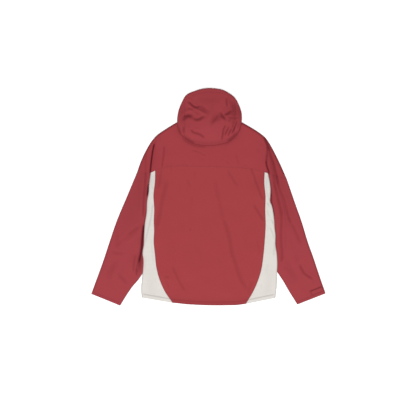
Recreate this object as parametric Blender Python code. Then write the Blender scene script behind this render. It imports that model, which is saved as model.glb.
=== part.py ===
"""Hooded shell jacket laid face down on a flat surface, with its hood up and its front zip closed.

Every cut piece is a closed wall of cloth of its own: it is worked out as a sheet of points on the
middle of the cloth, drawn in a little at its edges to leave the seam's gap, and then thickened.
The jacket frame has X across the back, Y from the hem to the hood and Z up from the surface.
Tables are measured from the middle of the hem, in metres, and MIDDLE brings the part to its centre.
"left" and "right" are the wearer's, which are also those of the back as it is seen here.
"""
import math

import bmesh
import bpy
import numpy as np
from mathutils import Matrix

MM = 0.001
MIDDLE = np.array((-0.00475, 0.4326))

# Cloth and how it is layered.
CLOTH = 1.2 * MM            # thickness of the shell fabric
DRAW_IN = 0.2 * MM          # each piece's edge stops this far short of the seam line
LAY = 0.4 * MM              # air between cloths that lie on each other
RETURN_LAY = 1.6 * MM       # and between the yoke and the hood's cloth that comes back over it
LOWER = CLOTH / 2           # middle of the cloth that lies on the surface
LOWEST = 2.4 * MM           # folds never press the upper cloth further down than this
UPPER = 4.9 * MM            # middle of the cloth on top
BODY_REACH = 5 * MM         # how far the fold at the side and shoulder reaches out
SLEEVE_REACH = 4 * MM
HOOD_REACH = 7 * MM
STRIP = 18 * MM             # the yoke's width on the hidden side of the shoulder
CHEST = 0.545               # where the fronts' lower stretch meets the one over the shoulders
THROAT = 0.655              # where the fronts end and the hood's cheeks start, at the zip

# What lifts the cloth: the sleeves under the sides of the body, the neck, and the zip's slider.
SLEEVE_LIFT = 6 * MM
SLEEVE_LIES = (0.125, 0.455)  # from where to where up the body a sleeve lies wholly under it
NECK_LIFT = 4.6 * MM
NECK_LIFT_Y = 0.725
NECK_SIZE = 0.11
SLIDER_LIFT = 3.4 * MM

# Hood.
HOOD_RISE = 20 * MM         # the dome above the hood's rounded edge
HOOD_EDGE_CROWN = 14 * MM   # height of the cloth where it turns down at the crown
HOOD_EDGE_NECK = 24 * MM    # and where it turns under above the back neck
HOOD_CENTRE = (0.0, 0.751)
HOOD_HALF = (0.128, 0.116)
HOOD_SQUARENESS = 2.4       # 2 would be an ellipse
HOOD_CLEAR_Y = 0.746        # above this the hood's sides go down to the surface, not over the yoke

# Zip: its chain and tapes lie inside the fronts' edges, and its pull hangs from the outside.
TAPE = 1.0 * MM
TAPE_INNER = 2.9 * MM
TAPE_OUTER = 18 * MM
CHAIN = 2.2 * MM
CHAIN_HALF = 2.6 * MM
ZIP_EDGE = 6 * MM           # the fronts' edges, on each side of the chain
ZIP_FLAT = 20 * MM          # as far out as the cloth is level beside the zip
ZIP_FOOT = 0.0105
ZIP_HEAD = 0.7035
BOX_HALF = 4 * MM
BOX_HALF_HEIGHT = 1.5 * MM
BOX_Y = (0.0012, 0.0101)
SLIDER_Y = (0.698, 0.710)
SLIDER_POST_Y = 0.7055
SLIDER_HALF = 4.5 * MM
SLIDER_PLATE = 0.9 * MM
SLIDER_CLEAR = 0.3 * MM
BRIDGE_Y = 0.704            # middle of the bridge that the pull hangs from
BRIDGE_HALF = 1.5 * MM
BRIDGE_ROOM = 2.2 * MM      # from its middle to its legs, and from the slider to its bar
BRIDGE_BAR = 0.9 * MM
PULL = 1.4 * MM             # thickness of the pull, and the width of the bar that it turns on
PULL_HALF = 3.4 * MM
PULL_EYE_HALF = 2.0 * MM
PULL_EYE = 4.6 * MM
PULL_LENGTH = 24 * MM

# Cuff tab, on the right sleeve: how far in from the fold and up from the cuff, and its size.
TAB_IN = 5 * MM
TAB_UP = 14 * MM
TAB_LENGTH = 48 * MM
TAB_WIDTH = 16 * MM

RED = (0.386, 0.0545, 0.061, 1.0)
CREAM = (0.75, 0.71, 0.67, 1.0)
RED_TAPE = (0.30, 0.04, 0.047, 1.0)
DARK_METAL = (0.06, 0.06, 0.065, 1.0)

# How finely each piece is faceted.
BODY_ROWS = 12
BODY_COLUMNS = 15
YOKE_ROWS = 7
SLEEVE_ROWS = 13
SLEEVE_COLUMNS = 7
HOOD_COLUMNS = 10
HOOD_SIDE_ROWS = 12
BODY_TURN = 4
SHOULDER_TURN = 3
SLEEVE_TURN = 3
HOOD_TURN = 4

# Points on the left and right side of the jacket: x, y.
SHOULDER = {
    "left": ((-0.2905, 0.5275), (-0.2745, 0.5725), (-0.2545, 0.6160), (-0.2290, 0.6575), (-0.2140, 0.6750),
             (-0.1755, 0.7025), (-0.1350, 0.7275), (-0.0920, 0.7500)),
    "right": ((0.3085, 0.5020), (0.2765, 0.5740), (0.2525, 0.6210), (0.2380, 0.6470), (0.2250, 0.6665),
              (0.2055, 0.6830), (0.1840, 0.6980), (0.1390, 0.7245), (0.0920, 0.7500)),
}
SLEEVE_OUTER = {
    "left": ((-0.2905, 0.5275), (-0.3320, 0.4280), (-0.3735, 0.3285), (-0.3995, 0.2520), (-0.4250, 0.1750),
             (-0.4525, 0.0990), (-0.4725, 0.0445)),
    "right": ((0.3085, 0.5020), (0.3410, 0.4075), (0.3660, 0.3370), (0.3960, 0.2400), (0.4130, 0.1930),
              (0.4450, 0.0980), (0.4630, 0.0465)),
}
SLEEVE_INNER = {
    "left": ((-0.2362, 0.5286), (-0.2425, 0.4900), (-0.2445, 0.4650), (-0.2425, 0.4450), (-0.2340, 0.3800),
             (-0.2310, 0.3000), (-0.2350, 0.2350), (-0.2450, 0.1730), (-0.2640, 0.1345), (-0.2870, 0.0990),
             (-0.3085, 0.0740), (-0.3255, 0.0500), (-0.3580, -0.0020)),
    "right": ((0.2343, 0.5270), (0.2434, 0.4900), (0.2446, 0.4650), (0.2425, 0.4450), (0.2330, 0.3800),
              (0.2310, 0.3000), (0.2360, 0.2350), (0.2470, 0.1780), (0.2640, 0.1440), (0.2980, 0.0900),
              (0.3125, 0.0645), (0.3510, 0.0025)),
}
UNDERARM = {"left": (-0.2345, 0.529), "right": (0.2325, 0.5275)}
SIDE_EDGE = {
    "left": ((-0.2345, 0.5290), (-0.2400, 0.4930), (-0.2430, 0.4500), (-0.2490, 0.4150), (-0.2510, 0.3700),
             (-0.2580, 0.3250), (-0.2610, 0.2800), (-0.2620, 0.2450), (-0.2670, 0.2040), (-0.2640, 0.1840),
             (-0.2650, 0.1450), (-0.2700, 0.1000), (-0.2730, 0.0600), (-0.2705, 0.0300)),
    "right": ((0.2325, 0.5275), (0.2405, 0.4900), (0.2430, 0.4500), (0.2430, 0.4150), (0.2535, 0.3720),
              (0.2580, 0.3330), (0.2590, 0.3120), (0.2625, 0.2820), (0.2625, 0.2400), (0.2675, 0.2080),
              (0.2700, 0.1650), (0.2680, 0.1200), (0.2675, 0.0750), (0.2625, 0.0290)),
}
SIDE_SEAM = {
    "left": ((-0.2175, 0.5375), (-0.2180, 0.4950), (-0.2238, 0.4400), (-0.2208, 0.3800), (-0.2225, 0.3350),
             (-0.2212, 0.2980), (-0.2230, 0.2550), (-0.2180, 0.2020), (-0.2130, 0.1550), (-0.2015, 0.1080),
             (-0.1800, 0.0570), (-0.1480, 0.0093)),
    "right": ((0.2200, 0.5305), (0.2182, 0.4900), (0.2230, 0.4350), (0.2220, 0.3780), (0.2236, 0.3200),
              (0.2195, 0.2520), (0.2145, 0.1980), (0.2065, 0.1430), (0.1960, 0.1060), (0.1745, 0.0550),
              (0.1450, 0.0050)),
}
YOKE_SEAM = ((-0.2175, 0.5375), (-0.1860, 0.5480), (-0.0380, 0.5540), (0.1000, 0.5490), (0.1800, 0.5415),
             (0.2200, 0.5305))
HEM = ((-0.148, 0.0093), (-0.070, 0.002), (0.000, -0.0008), (0.070, -0.0007), (0.110, 0.0003), (0.145, 0.005))
BACK_NECK = ((-0.088, 0.745), (-0.045, 0.737), (0.0, 0.735), (0.045, 0.737), (0.088, 0.745))
FRONT_NECK = ((0.006, 0.655), (0.030, 0.661), (0.056, 0.682), (0.0765, 0.712), (0.083, 0.7335))

# The hood's outline, and its pieces' seams and edges.
HOOD_CROWN = ((-0.1043, 0.8225), (-0.0970, 0.8345), (-0.0860, 0.8435), (-0.0600, 0.8543), (-0.0280, 0.8640),
              (-0.0030, 0.8665), (0.0250, 0.8645), (0.0480, 0.8605), (0.0820, 0.8430), (0.0950, 0.8335),
              (0.1088, 0.8163))
HOOD_OVERHANG = ((-0.1065, 0.6715), (-0.0900, 0.6575), (-0.0660, 0.6445), (-0.0380, 0.6380), (0.0020, 0.6355),
                 (0.0420, 0.6405), (0.0740, 0.6505), (0.1030, 0.6740))
HOOD_SIDE = {
    "left": ((-0.1065, 0.6715), (-0.1215, 0.6890), (-0.1275, 0.7120), (-0.1288, 0.7420), (-0.1230, 0.7780),
             (-0.1150, 0.8000), (-0.1043, 0.8225)),
    "right": ((0.1030, 0.6740), (0.1170, 0.6920), (0.1250, 0.7180), (0.1280, 0.7400), (0.1275, 0.7640),
              (0.1225, 0.7840), (0.1088, 0.8163)),
}
HOOD_NECK = ((-0.080, 0.7445), (-0.045, 0.7365), (0.0, 0.7345), (0.045, 0.7365), (0.080, 0.7445))
HOOD_NECK_END = (0.090, 0.7475)
BRIM = ((-0.056, 0.833), (-0.030, 0.843), (0.0, 0.846), (0.030, 0.843), (0.056, 0.833))
FACE_EDGE = ((0.006, 0.655), (0.006, 0.690), (0.009, 0.716), (0.034, 0.733),
             (0.060, 0.765), (0.066, 0.800), (0.056, 0.833))
FRONT_HEM = ((ZIP_EDGE, 0.001), (ZIP_FLAT, 0.0005), (0.080, 0.002))

# Largest folds of the cloth on top: start x, y, end x, y, half width, height.
BACK_FOLDS = (
    (-0.224, 0.652, -0.238, 0.536, 0.010, -2.6 * MM),
    (-0.206, 0.650, -0.218, 0.550, 0.013, 2.6 * MM),
    (-0.244, 0.620, -0.254, 0.530, 0.013, 2.4 * MM),
    (-0.182, 0.640, -0.192, 0.545, 0.012, -2.0 * MM),
    (-0.146, 0.545, -0.205, 0.330, 0.018, -2.0 * MM),
    (0.232, 0.640, 0.238, 0.536, 0.011, -2.6 * MM),
    (0.214, 0.650, 0.222, 0.552, 0.013, 2.4 * MM),
    (0.170, 0.548, 0.210, 0.430, 0.014, -2.0 * MM),
    (0.066, 0.548, 0.122, 0.470, 0.016, -1.8 * MM),
    (0.030, 0.520, 0.140, 0.090, 0.022, -2.2 * MM),
    (-0.150, 0.172, -0.094, 0.068, 0.018, -1.8 * MM),
)
SLEEVE_FOLDS = (
    (0.252, 0.600, 0.276, 0.490, 0.010, -2.4 * MM),
    (0.268, 0.500, 0.290, 0.340, 0.012, -2.4 * MM),
    (0.272, 0.560, 0.330, 0.300, 0.014, -2.2 * MM),
    (0.295, 0.460, 0.345, 0.280, 0.016, 2.4 * MM),
    (-0.300, 0.480, -0.316, 0.330, 0.016, -2.0 * MM),
    (-0.278, 0.316, -0.338, 0.272, 0.018, -2.0 * MM),
    (-0.275, 0.300, -0.312, 0.120, 0.012, 2.4 * MM),
    (-0.345, 0.222, -0.390, 0.215, 0.018, -1.6 * MM),
    (0.352, 0.178, 0.408, 0.110, 0.013, -2.0 * MM),
)
HOOD_FOLDS = (
    (-0.084, 0.806, -0.038, 0.800, 0.014, -5.0 * MM),
    (-0.106, 0.752, -0.032, 0.744, 0.016, -8.0 * MM),
    (-0.100, 0.778, -0.060, 0.780, 0.018, 4.0 * MM),
    (-0.076, 0.698, -0.022, 0.670, 0.014, -4.0 * MM),
    (0.046, 0.764, 0.068, 0.744, 0.013, -6.0 * MM),
    (0.020, 0.800, 0.006, 0.722, 0.022, -4.0 * MM),
    (0.072, 0.820, 0.074, 0.780, 0.012, -4.0 * MM),
)


# ---------------------------------------------------------------- curves and plan grids

def share(points):
    """How far along its line each point lies, from 0 to 1."""
    steps = np.linalg.norm(np.diff(points, axis=0), axis=1)
    travelled = np.concatenate(([0.0], np.cumsum(steps)))
    return travelled / travelled[-1]


def smooth(table, places):
    """Points on a smooth curve through the table, evenly spaced or at the given shares of it."""
    points = np.array(table, float)
    knots = share(points)
    slopes = np.gradient(points, knots, axis=0)
    at = np.linspace(0.0, 1.0, places + 1) if isinstance(places, int) else np.asarray(places)
    span = np.clip(np.searchsorted(knots, at, side="right") - 1, 0, len(knots) - 2)
    length = (knots[span + 1] - knots[span])[:, None]
    t = (at - knots[span])[:, None] / length
    start = (1 + 2 * t) * (1 - t) ** 2 * points[span] + t * (1 - t) ** 2 * length * slopes[span]
    end = t ** 2 * (3 - 2 * t) * points[span + 1] - t ** 2 * (1 - t) * length * slopes[span + 1]
    return start + end


def straight(start, end, steps):
    """steps + 1 points on a straight line."""
    t = np.linspace(0.0, 1.0, steps + 1)[:, None]
    return (1 - t) * np.array(start, float) + t * np.array(end, float)


def joined(*lines):
    """One line from several that follow on from each other."""
    return np.concatenate([lines[0]] + [line[1:] for line in lines[1:]])


def outward(edge, inside):
    """Unit normals of an edge in plan, on the side away from the point inside."""
    along = np.gradient(edge, axis=0)
    normal = np.column_stack((along[:, 1], -along[:, 0]))
    normal /= np.linalg.norm(normal, axis=1)[:, None]
    middle = len(edge) // 2
    facing = np.dot(normal[middle], edge[middle] - np.array(inside))
    return normal if facing > 0 else -normal


def patch(near, far, first, last):
    """Plan grid that fills four edges: rows go from near to far, columns from first to last."""
    u = share(near)[None, :, None]
    v = share(first)[:, None, None]
    rows = (1 - v) * near[None] + v * far[None]
    columns = (1 - u) * first[:, None] + u * last[:, None]
    corners = ((1 - u) * (1 - v) * near[0] + u * (1 - v) * near[-1]
               + (1 - u) * v * far[0] + u * v * far[-1])
    return rows + columns - corners


def raised(plan, height):
    """Plan points with the height that a function of x and y gives them."""
    return np.dstack((plan, height(plan[..., 0], plan[..., 1])))


def turned(inset, normals, reach, high, low, steps):
    """Cloth that turns over an edge: rows follow the edge, columns go round from high to low."""
    angle = np.linspace(math.pi / 2, -math.pi / 2, steps + 1)
    plan = inset[:, None] + normals[:, None] * reach * np.cos(angle)[None, :, None]
    height = ((high + low) / 2)[:, None] + ((high - low) / 2)[:, None] * np.sin(angle)[None]
    return np.dstack((plan, height))


# ---------------------------------------------------------------- heights

def ramp(low, high, value):
    """Smooth step from 0 at low to 1 at high."""
    t = np.clip((value - low) / (high - low), 0.0, 1.0)
    return t * t * (3 - 2 * t)


def folds(table, x, y):
    """Soft troughs and ridges along straight lines, fading at both ends."""
    total = np.zeros_like(x)
    for x0, y0, x1, y1, width, height in table:
        dx, dy = x1 - x0, y1 - y0
        along = ((x - x0) * dx + (y - y0) * dy) / (dx * dx + dy * dy)
        nearest = np.clip(along, 0.15, 0.85)
        gap = np.hypot(x - x0 - nearest * dx, y - y0 - nearest * dy)
        total += height * np.exp(-(gap / width) ** 2)
    return total


def sleeve_below(y, foot, head):
    """1 where a sleeve lies wholly under the body's side, fading to 0 at foot and head."""
    return ramp(foot, SLEEVE_LIES[0], y) * (1 - ramp(SLEEVE_LIES[1], head, y))


def lower_height(x, y):
    """Middle of the body's lower cloth: on the surface, over the sleeves, and over the slider."""
    side = ramp(0.175, 0.215, np.abs(x)) * sleeve_below(y, 0.085, 0.50)
    beside_zip = 1 - ramp(ZIP_FLAT, 0.085, np.abs(x))
    slider = beside_zip * ramp(0.60, 0.67, y) * (1 - ramp(0.735, 0.80, y))
    return LOWER + SLEEVE_LIFT * side + SLIDER_LIFT * slider


def body_height(x, y):
    """Middle of the body's upper cloth."""
    side = ramp(0.12, 0.22, np.abs(x)) * sleeve_below(y, 0.05, 0.53)
    neck = 1 - ramp(0.35, 1.0, np.hypot(x, y - NECK_LIFT_Y) / NECK_SIZE)
    height = UPPER + SLEEVE_LIFT * side + NECK_LIFT * neck + folds(BACK_FOLDS, x, y)
    return np.maximum(height, LOWEST)


def sleeve_height(x, y):
    """Middle of a sleeve's upper cloth."""
    return np.maximum(UPPER + folds(BACK_FOLDS + SLEEVE_FOLDS, x, y), LOWEST)


def flat_height(x, y):
    """Middle of cloth that lies on the surface."""
    return np.full_like(x, LOWER)


def hood_edge_height(y):
    """Height of the hood's upper cloth where it starts to turn down or under."""
    return HOOD_EDGE_NECK + (HOOD_EDGE_CROWN - HOOD_EDGE_NECK) * ramp(0.69, 0.80, y)


def hood_height(x, y):
    """Middle of the hood's upper cloth: a low dome, creased where it has collapsed."""
    across = np.abs(x - HOOD_CENTRE[0]) / HOOD_HALF[0]
    up = np.abs(y - HOOD_CENTRE[1]) / HOOD_HALF[1]
    spread = (across ** HOOD_SQUARENESS + up ** HOOD_SQUARENESS) ** (2 / HOOD_SQUARENESS)
    inside = 1 - np.clip(spread, 0.0, 1.0)
    dome = HOOD_RISE * inside ** 1.3
    return hood_edge_height(y) + dome + folds(HOOD_FOLDS, x, y) * ramp(0.0, 0.3, inside)


def return_height(x, y):
    """Middle of the hood's cloth that comes back to the neck on top of the yoke."""
    return body_height(x, y) + CLOTH + RETURN_LAY


# ---------------------------------------------------------------- sheets to solids

def sheet_from(grids):
    """One mesh from grids of points, joined where their edges meet."""
    sheet = bmesh.new()
    for grid in grids:
        corners = [[sheet.verts.new(point) for point in row] for row in grid]
        for here, after in zip(corners, corners[1:]):
            for column in range(len(here) - 1):
                sheet.faces.new((here[column], here[column + 1], after[column + 1], after[column]))
    bmesh.ops.remove_doubles(sheet, verts=sheet.verts[:], dist=0.01 * MM)
    bmesh.ops.recalc_face_normals(sheet, faces=sheet.faces[:])
    sheet.normal_update()
    return sheet


def draw_in(sheet, distance):
    """Move a sheet's open edges inward, square to themselves."""
    ways = {}
    for edge in sheet.edges:
        if not edge.is_boundary:
            continue
        face = edge.link_faces[0]
        start, end = edge.verts
        inward = face.normal.cross(end.co - start.co).normalized()
        if inward.dot(face.calc_center_median() - (start.co + end.co) / 2) < 0:
            inward.negate()
        for vert in edge.verts:
            ways.setdefault(vert, []).append(inward)
    for vert, (first, second) in ways.items():
        vert.co += (first + second) * distance / max(1 + first.dot(second), 0.5)


def thicken(sheet, thickness):
    """Turn an open sheet into a closed wall with half its thickness on each side."""
    sheet.normal_update()
    middle = sheet.verts[:]
    faces = sheet.faces[:]
    rims = [edge for edge in sheet.edges if edge.is_boundary]
    above = {v: sheet.verts.new(v.co + v.normal * thickness / 2) for v in middle}
    below = {v: sheet.verts.new(v.co - v.normal * thickness / 2) for v in middle}
    for face in faces:
        sheet.faces.new([above[v] for v in face.verts])
        sheet.faces.new([below[v] for v in reversed(face.verts)])
    for edge in rims:
        start, end = edge.verts
        sheet.faces.new((above[start], above[end], below[end], below[start]))
    bmesh.ops.delete(sheet, geom=middle, context="VERTS")
    bmesh.ops.recalc_face_normals(sheet, faces=sheet.faces[:])


def material(name, colour, roughness, metallic=0.0):
    """Plain finish for one kind of piece, made once."""
    finish = bpy.data.materials.get(name)
    if finish is None:
        finish = bpy.data.materials.new(name)
        finish.use_nodes = True
        shader = finish.node_tree.nodes["Principled BSDF"]
        shader.inputs["Base Color"].default_value = colour
        shader.inputs["Roughness"].default_value = roughness
        shader.inputs["Metallic"].default_value = metallic
    return finish


def add_object(name, mesh_data, finish):
    """Put one finished solid in the scene under its node's name, centred on the part's origin."""
    mesh_data.transform(Matrix.Translation((-MIDDLE[0], -MIDDLE[1], 0.0)))
    piece = bpy.data.objects.new(name, mesh_data)
    piece.data.materials.append(finish)
    bpy.context.collection.objects.link(piece)
    return piece


def add_cloth(name, grids, finish, thickness=CLOTH):
    """One cut piece: its grids joined, drawn in from its seams and thickened."""
    sheet = sheet_from(grids)
    draw_in(sheet, DRAW_IN)
    thicken(sheet, thickness)
    mesh = bpy.data.meshes.new(name)
    sheet.to_mesh(mesh)
    sheet.free()
    mesh.shade_smooth()
    return add_object(name, mesh, finish)


# ---------------------------------------------------------------- lines shared by neighbouring pieces

def mirrored(table, side):
    """A right-hand table of points, turned over for the left side."""
    sign = -1 if side == "left" else 1
    return [(sign * x, y) for x, y in table]


def heading(start, end):
    """Unit direction from one plan point to another."""
    way = np.array(end, float) - np.array(start, float)
    return way / np.linalg.norm(way)


class Side:
    """The lines that the pieces of one side of the jacket share at their seams.

    A fold's direction is square to its edge, and at a seam it follows the seam.
    """

    def __init__(self, side):
        self.side = side
        self.underarm = np.array(UNDERARM[side])
        self.seam = smooth(SIDE_SEAM[side], BODY_ROWS)[::-1]
        self.edge = smooth(SIDE_EDGE[side], BODY_ROWS)[::-1]
        self.edge_normals = outward(self.edge, (0.0, 0.3))
        self.edge_normals[0] = heading(self.seam[0], self.edge[0])
        self.edge_normals[-1] = heading(self.seam[-1], self.edge[-1])
        self.edge_inset = self.edge - self.edge_normals * BODY_REACH
        self.shoulder = smooth(SHOULDER[side], YOKE_ROWS)
        self.shoulder_normals = outward(self.shoulder, (0.0, 0.3))
        self.outer = smooth(SLEEVE_OUTER[side], SLEEVE_ROWS)
        self.inner = smooth(SLEEVE_INNER[side], SLEEVE_ROWS)
        self.outer_normals = outward(self.outer, (0.0, 0.3))
        self.inner_normals = outward(self.inner, self.outer[SLEEVE_ROWS // 2])
        self.shoulder_normals[0] = heading(self.underarm, self.shoulder[0])
        for row in (0, -1):
            self.outer_normals[row] = heading(self.inner[row], self.outer[row])
            self.inner_normals[row] = heading(self.outer[row], self.inner[row])
        self.strip = self.shoulder_at(STRIP)
        self.chest = self.chest_line()
        self.front_neck = self.front_neck_line()

    def shoulder_at(self, distance):
        """The shoulder's line, moved in from the outline by a distance."""
        return self.shoulder - self.shoulder_normals * distance

    def chest_line(self):
        """Across a front, from the zip to the underarm and on to the shoulder's strip."""
        at_zip, flat = mirrored(((ZIP_EDGE, CHEST), (ZIP_FLAT, CHEST)), self.side)
        return joined(straight(at_zip, flat, 1), straight(flat, self.seam[-1], 4),
                      straight(self.seam[-1], self.underarm, 1),
                      straight(self.underarm, self.strip[0], 2))

    def front_neck_line(self):
        """The seam of a front with the hood's cheek, from the zip to the shoulder's strip."""
        across = share(self.chest)
        neck = smooth(mirrored(FRONT_NECK, self.side), across)
        return neck + (self.strip[-1] - neck[-1]) * across[:, None]


# ---------------------------------------------------------------- body

def build_back(left, right, finish):
    """Back body panel, from the yoke's seam to the hem."""
    hem = smooth(HEM, share(back_columns()))
    plan = patch(hem, back_columns(), left.seam, right.seam)
    add_cloth("back_panel", [raised(plan, body_height)], finish)


def back_columns():
    """Points on the yoke's seam with the back panel, which both pieces use."""
    return smooth(YOKE_SEAM, BODY_COLUMNS)


def build_yoke(left, right, finish):
    """Back yoke: over both dropped shoulders, and round them to a strip on the hidden side."""
    first = left.shoulder_at(BODY_REACH)
    last = right.shoulder_at(BODY_REACH)
    near = joined(straight(first[0], left.underarm, 5), straight(left.underarm, left.seam[-1], 1),
                  back_columns(),
                  straight(right.seam[-1], right.underarm, 1), straight(right.underarm, last[0], 5))
    across = share(near)[:, None]
    neck = smooth(BACK_NECK, share(near))
    neck = neck + (first[-1] - neck[0]) * (1 - across) + (last[-1] - neck[-1]) * across
    grids = [raised(patch(near, neck, first, last), body_height)]
    for side, inset in ((left, first), (right, last)):
        high = body_height(inset[:, 0], inset[:, 1])
        low = lower_height(inset[:, 0], inset[:, 1])
        grids.append(turned(inset, side.shoulder_normals, BODY_REACH, high, low, SHOULDER_TURN))
        strip = np.stack([inset, side.strip], axis=1)
        grids.append(raised(strip, lower_height))
    add_cloth("yoke_back", grids, finish)


def build_side_panel(side, finish):
    """Side panel in one piece from the back's seam, round the fold, to the front's seam."""
    near = straight(side.seam[0], side.edge_inset[0], 3)
    far = straight(side.seam[-1], side.edge_inset[-1], 3)
    plan = patch(near, far, side.seam, side.edge_inset)
    x, y = side.edge_inset.T
    high, low = body_height(x, y), lower_height(x, y)
    fold = turned(side.edge_inset, side.edge_normals, BODY_REACH, high, low, BODY_TURN)
    grids = [raised(plan, body_height), fold, raised(plan, lower_height)]
    add_cloth("side_" + side.side, grids, finish)


def build_front(side, finish):
    """Front: from the zip to the side seam, and on over the shoulder to the yoke's strip."""
    foot, flat_foot, hem_middle = mirrored(FRONT_HEM, side.side)
    zip_line = smooth((foot, side.chest[0]), share(side.seam))
    hem = joined(straight(foot, flat_foot, 1), smooth((flat_foot, hem_middle, side.seam[0]), 4))
    chest = side.chest[:len(hem)]
    grids = [raised(patch(hem, chest, zip_line, side.seam), lower_height)]
    centre = smooth((side.chest[0], side.front_neck[0]), share(side.strip))
    grids.append(raised(patch(side.chest, side.front_neck, centre, side.strip), lower_height))
    add_cloth("front_" + side.side, grids, finish)


def build_sleeve(side, finish):
    """Sleeve: a flat tube from the yoke's seam to the cuff, in one piece."""
    outer = side.outer - side.outer_normals * SLEEVE_REACH
    inner = side.inner - side.inner_normals * SLEEVE_REACH
    grids = []
    for columns, height in ((SLEEVE_COLUMNS, sleeve_height), (3, flat_height)):
        near = straight(outer[0], inner[0], columns)
        far = straight(outer[-1], inner[-1], columns)
        grids.append(raised(patch(near, far, outer, inner), height))
    for inset, normals in ((outer, side.outer_normals), (inner, side.inner_normals)):
        high = sleeve_height(inset[:, 0], inset[:, 1])
        grids.append(turned(inset, normals, SLEEVE_REACH, high, np.full_like(high, LOWER), SLEEVE_TURN))
    add_cloth("sleeve_" + side.side, grids, finish)


# ---------------------------------------------------------------- hood

class HoodOutline:
    """Points round the hood as it lies, each with the direction square to the outline."""

    def __init__(self):
        overhang = smooth(HOOD_OVERHANG, HOOD_COLUMNS)
        crown = smooth(HOOD_CROWN, HOOD_COLUMNS)
        right = smooth(HOOD_SIDE["right"], HOOD_SIDE_ROWS)
        left = smooth(HOOD_SIDE["left"], HOOD_SIDE_ROWS)
        ring = joined(overhang, right, crown[::-1], left[::-1])[:-1]
        along = np.roll(ring, -1, axis=0) - np.roll(ring, 1, axis=0)
        normals = np.column_stack((along[:, 1], -along[:, 0]))
        normals /= np.linalg.norm(normals, axis=1)[:, None]
        inset = ring - normals * HOOD_REACH
        turn = HOOD_COLUMNS + HOOD_SIDE_ROWS
        order = {
            "overhang": range(0, HOOD_COLUMNS + 1),
            "right": range(HOOD_COLUMNS, turn + 1),
            "crown": range(turn + HOOD_COLUMNS, turn - 1, -1),
            "left": range(2 * turn, turn + HOOD_COLUMNS - 1, -1),
        }
        self.inset = {name: inset[np.array(places) % len(ring)] for name, places in order.items()}
        self.normals = {name: normals[np.array(places) % len(ring)] for name, places in order.items()}

    def fold(self, name, low):
        """The cloth turning down round one stretch, from the dome to the given heights."""
        inset = self.inset[name]
        x, y = inset.T
        return turned(inset, self.normals[name], HOOD_REACH, hood_height(x, y), low(x, y), HOOD_TURN)


def build_hood_centre(outline, finish):
    """Back and crown of the hood: from the neck, out over the yoke, over the top and under the brim."""
    overhang = outline.inset["overhang"]
    crown = outline.inset["crown"]
    neck = smooth(HOOD_NECK, share(overhang))
    brim = smooth(BRIM, share(overhang))
    grids = [outline.fold("overhang", return_height), outline.fold("crown", flat_height)]
    for near, far, rows, height in ((overhang, crown, 10, hood_height), (overhang, neck, 5, return_height),
                                    (crown, brim, 2, lower_height)):
        first = straight(near[0], far[0], rows)
        last = straight(near[-1], far[-1], rows)
        grids.append(raised(patch(near, far, first, last), height))
    add_cloth("hood_centre", grids, finish)


def build_hood_side(outline, side, finish):
    """Side of the hood: from the seam near its fold, round the fold, and under the face to the zip."""
    edge = outline.inset[side.side]
    seam = smooth((edge[0], edge[-1]), share(edge))
    top = np.stack([seam, (seam + edge) / 2, edge], axis=1)
    clear = int(np.searchsorted(edge[:, 1], HOOD_CLEAR_Y))

    def lowest(x, y):
        over_yoke = np.arange(len(x)) < clear
        return np.where(over_yoke, return_height(x, y), LOWER)

    neck_start, neck_end = mirrored((HOOD_NECK[-1], HOOD_NECK_END), side.side)
    back = patch(straight(edge[0], neck_start, 3), straight(edge[clear - 1], neck_end, 3),
                 edge[:clear], straight(neck_start, neck_end, clear - 1))
    cheek_edge = edge[clear:]
    near = joined(side.front_neck, straight(side.strip[-1], side.shoulder[-1], 1),
                  straight(side.shoulder[-1], cheek_edge[0], 2))
    face = smooth(mirrored(FACE_EDGE, side.side), share(cheek_edge))
    far = smooth((face[-1], cheek_edge[-1]), share(near))
    cheek = patch(near, far, face, cheek_edge)
    grids = [raised(top, hood_height), outline.fold(side.side, lowest),
             raised(back, return_height), raised(cheek, lower_height)]
    add_cloth("hood_" + side.side, grids, finish)


# ---------------------------------------------------------------- zip and tab

def zip_height(x, y):
    """Middle of the zip's chain and tapes, just inside the fronts' edges."""
    return lower_height(np.zeros_like(x), y) + CLOTH / 2 + LAY + TAPE / 2


def zip_stretch(start_x, end_x):
    """Plan grid of a strip along the zip, with a row wherever the fronts have one."""
    below = np.linspace(ZIP_FOOT, CHEST, BODY_ROWS)
    beside_chest = np.linspace(CHEST, THROAT, YOKE_ROWS + 1)
    under_chin = np.linspace(THROAT, ZIP_HEAD, 4)
    rows = np.concatenate((below, beside_chest[1:], under_chin[1:]))
    return np.array([[(start_x, y), (end_x, y)] for y in rows])


def build_tapes(finish, chain_finish):
    """Two tapes, and the closed chain between them as one strip."""
    for name, sign in (("left", -1), ("right", 1)):
        plan = zip_stretch(sign * TAPE_INNER, sign * TAPE_OUTER)
        add_cloth("zip_tape_" + name, [raised(plan, zip_height)], finish, TAPE)
    chain = zip_stretch(-CHAIN_HALF, CHAIN_HALF)
    add_cloth("zip_chain", [raised(chain, zip_height)], chain_finish, CHAIN)


def extruded(name, outline, half_width):
    """Solid with a side view in Y and Z, the same all the way across X."""
    solid = bmesh.new()
    ends = [[solid.verts.new((x, y, z)) for y, z in outline] for x in (-half_width, half_width)]
    solid.faces.new(ends[0])
    solid.faces.new(ends[1])
    for here in range(len(outline)):
        after = (here + 1) % len(outline)
        solid.faces.new((ends[0][here], ends[0][after], ends[1][after], ends[1][here]))
    bmesh.ops.recalc_face_normals(solid, faces=solid.faces[:])
    mesh = bpy.data.meshes.new(name)
    solid.to_mesh(mesh)
    solid.free()
    return mesh


def zip_level(y):
    """Height of the chain's middle at one place along it."""
    return float(zip_height(np.zeros(1), np.array([y]))[0])


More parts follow.
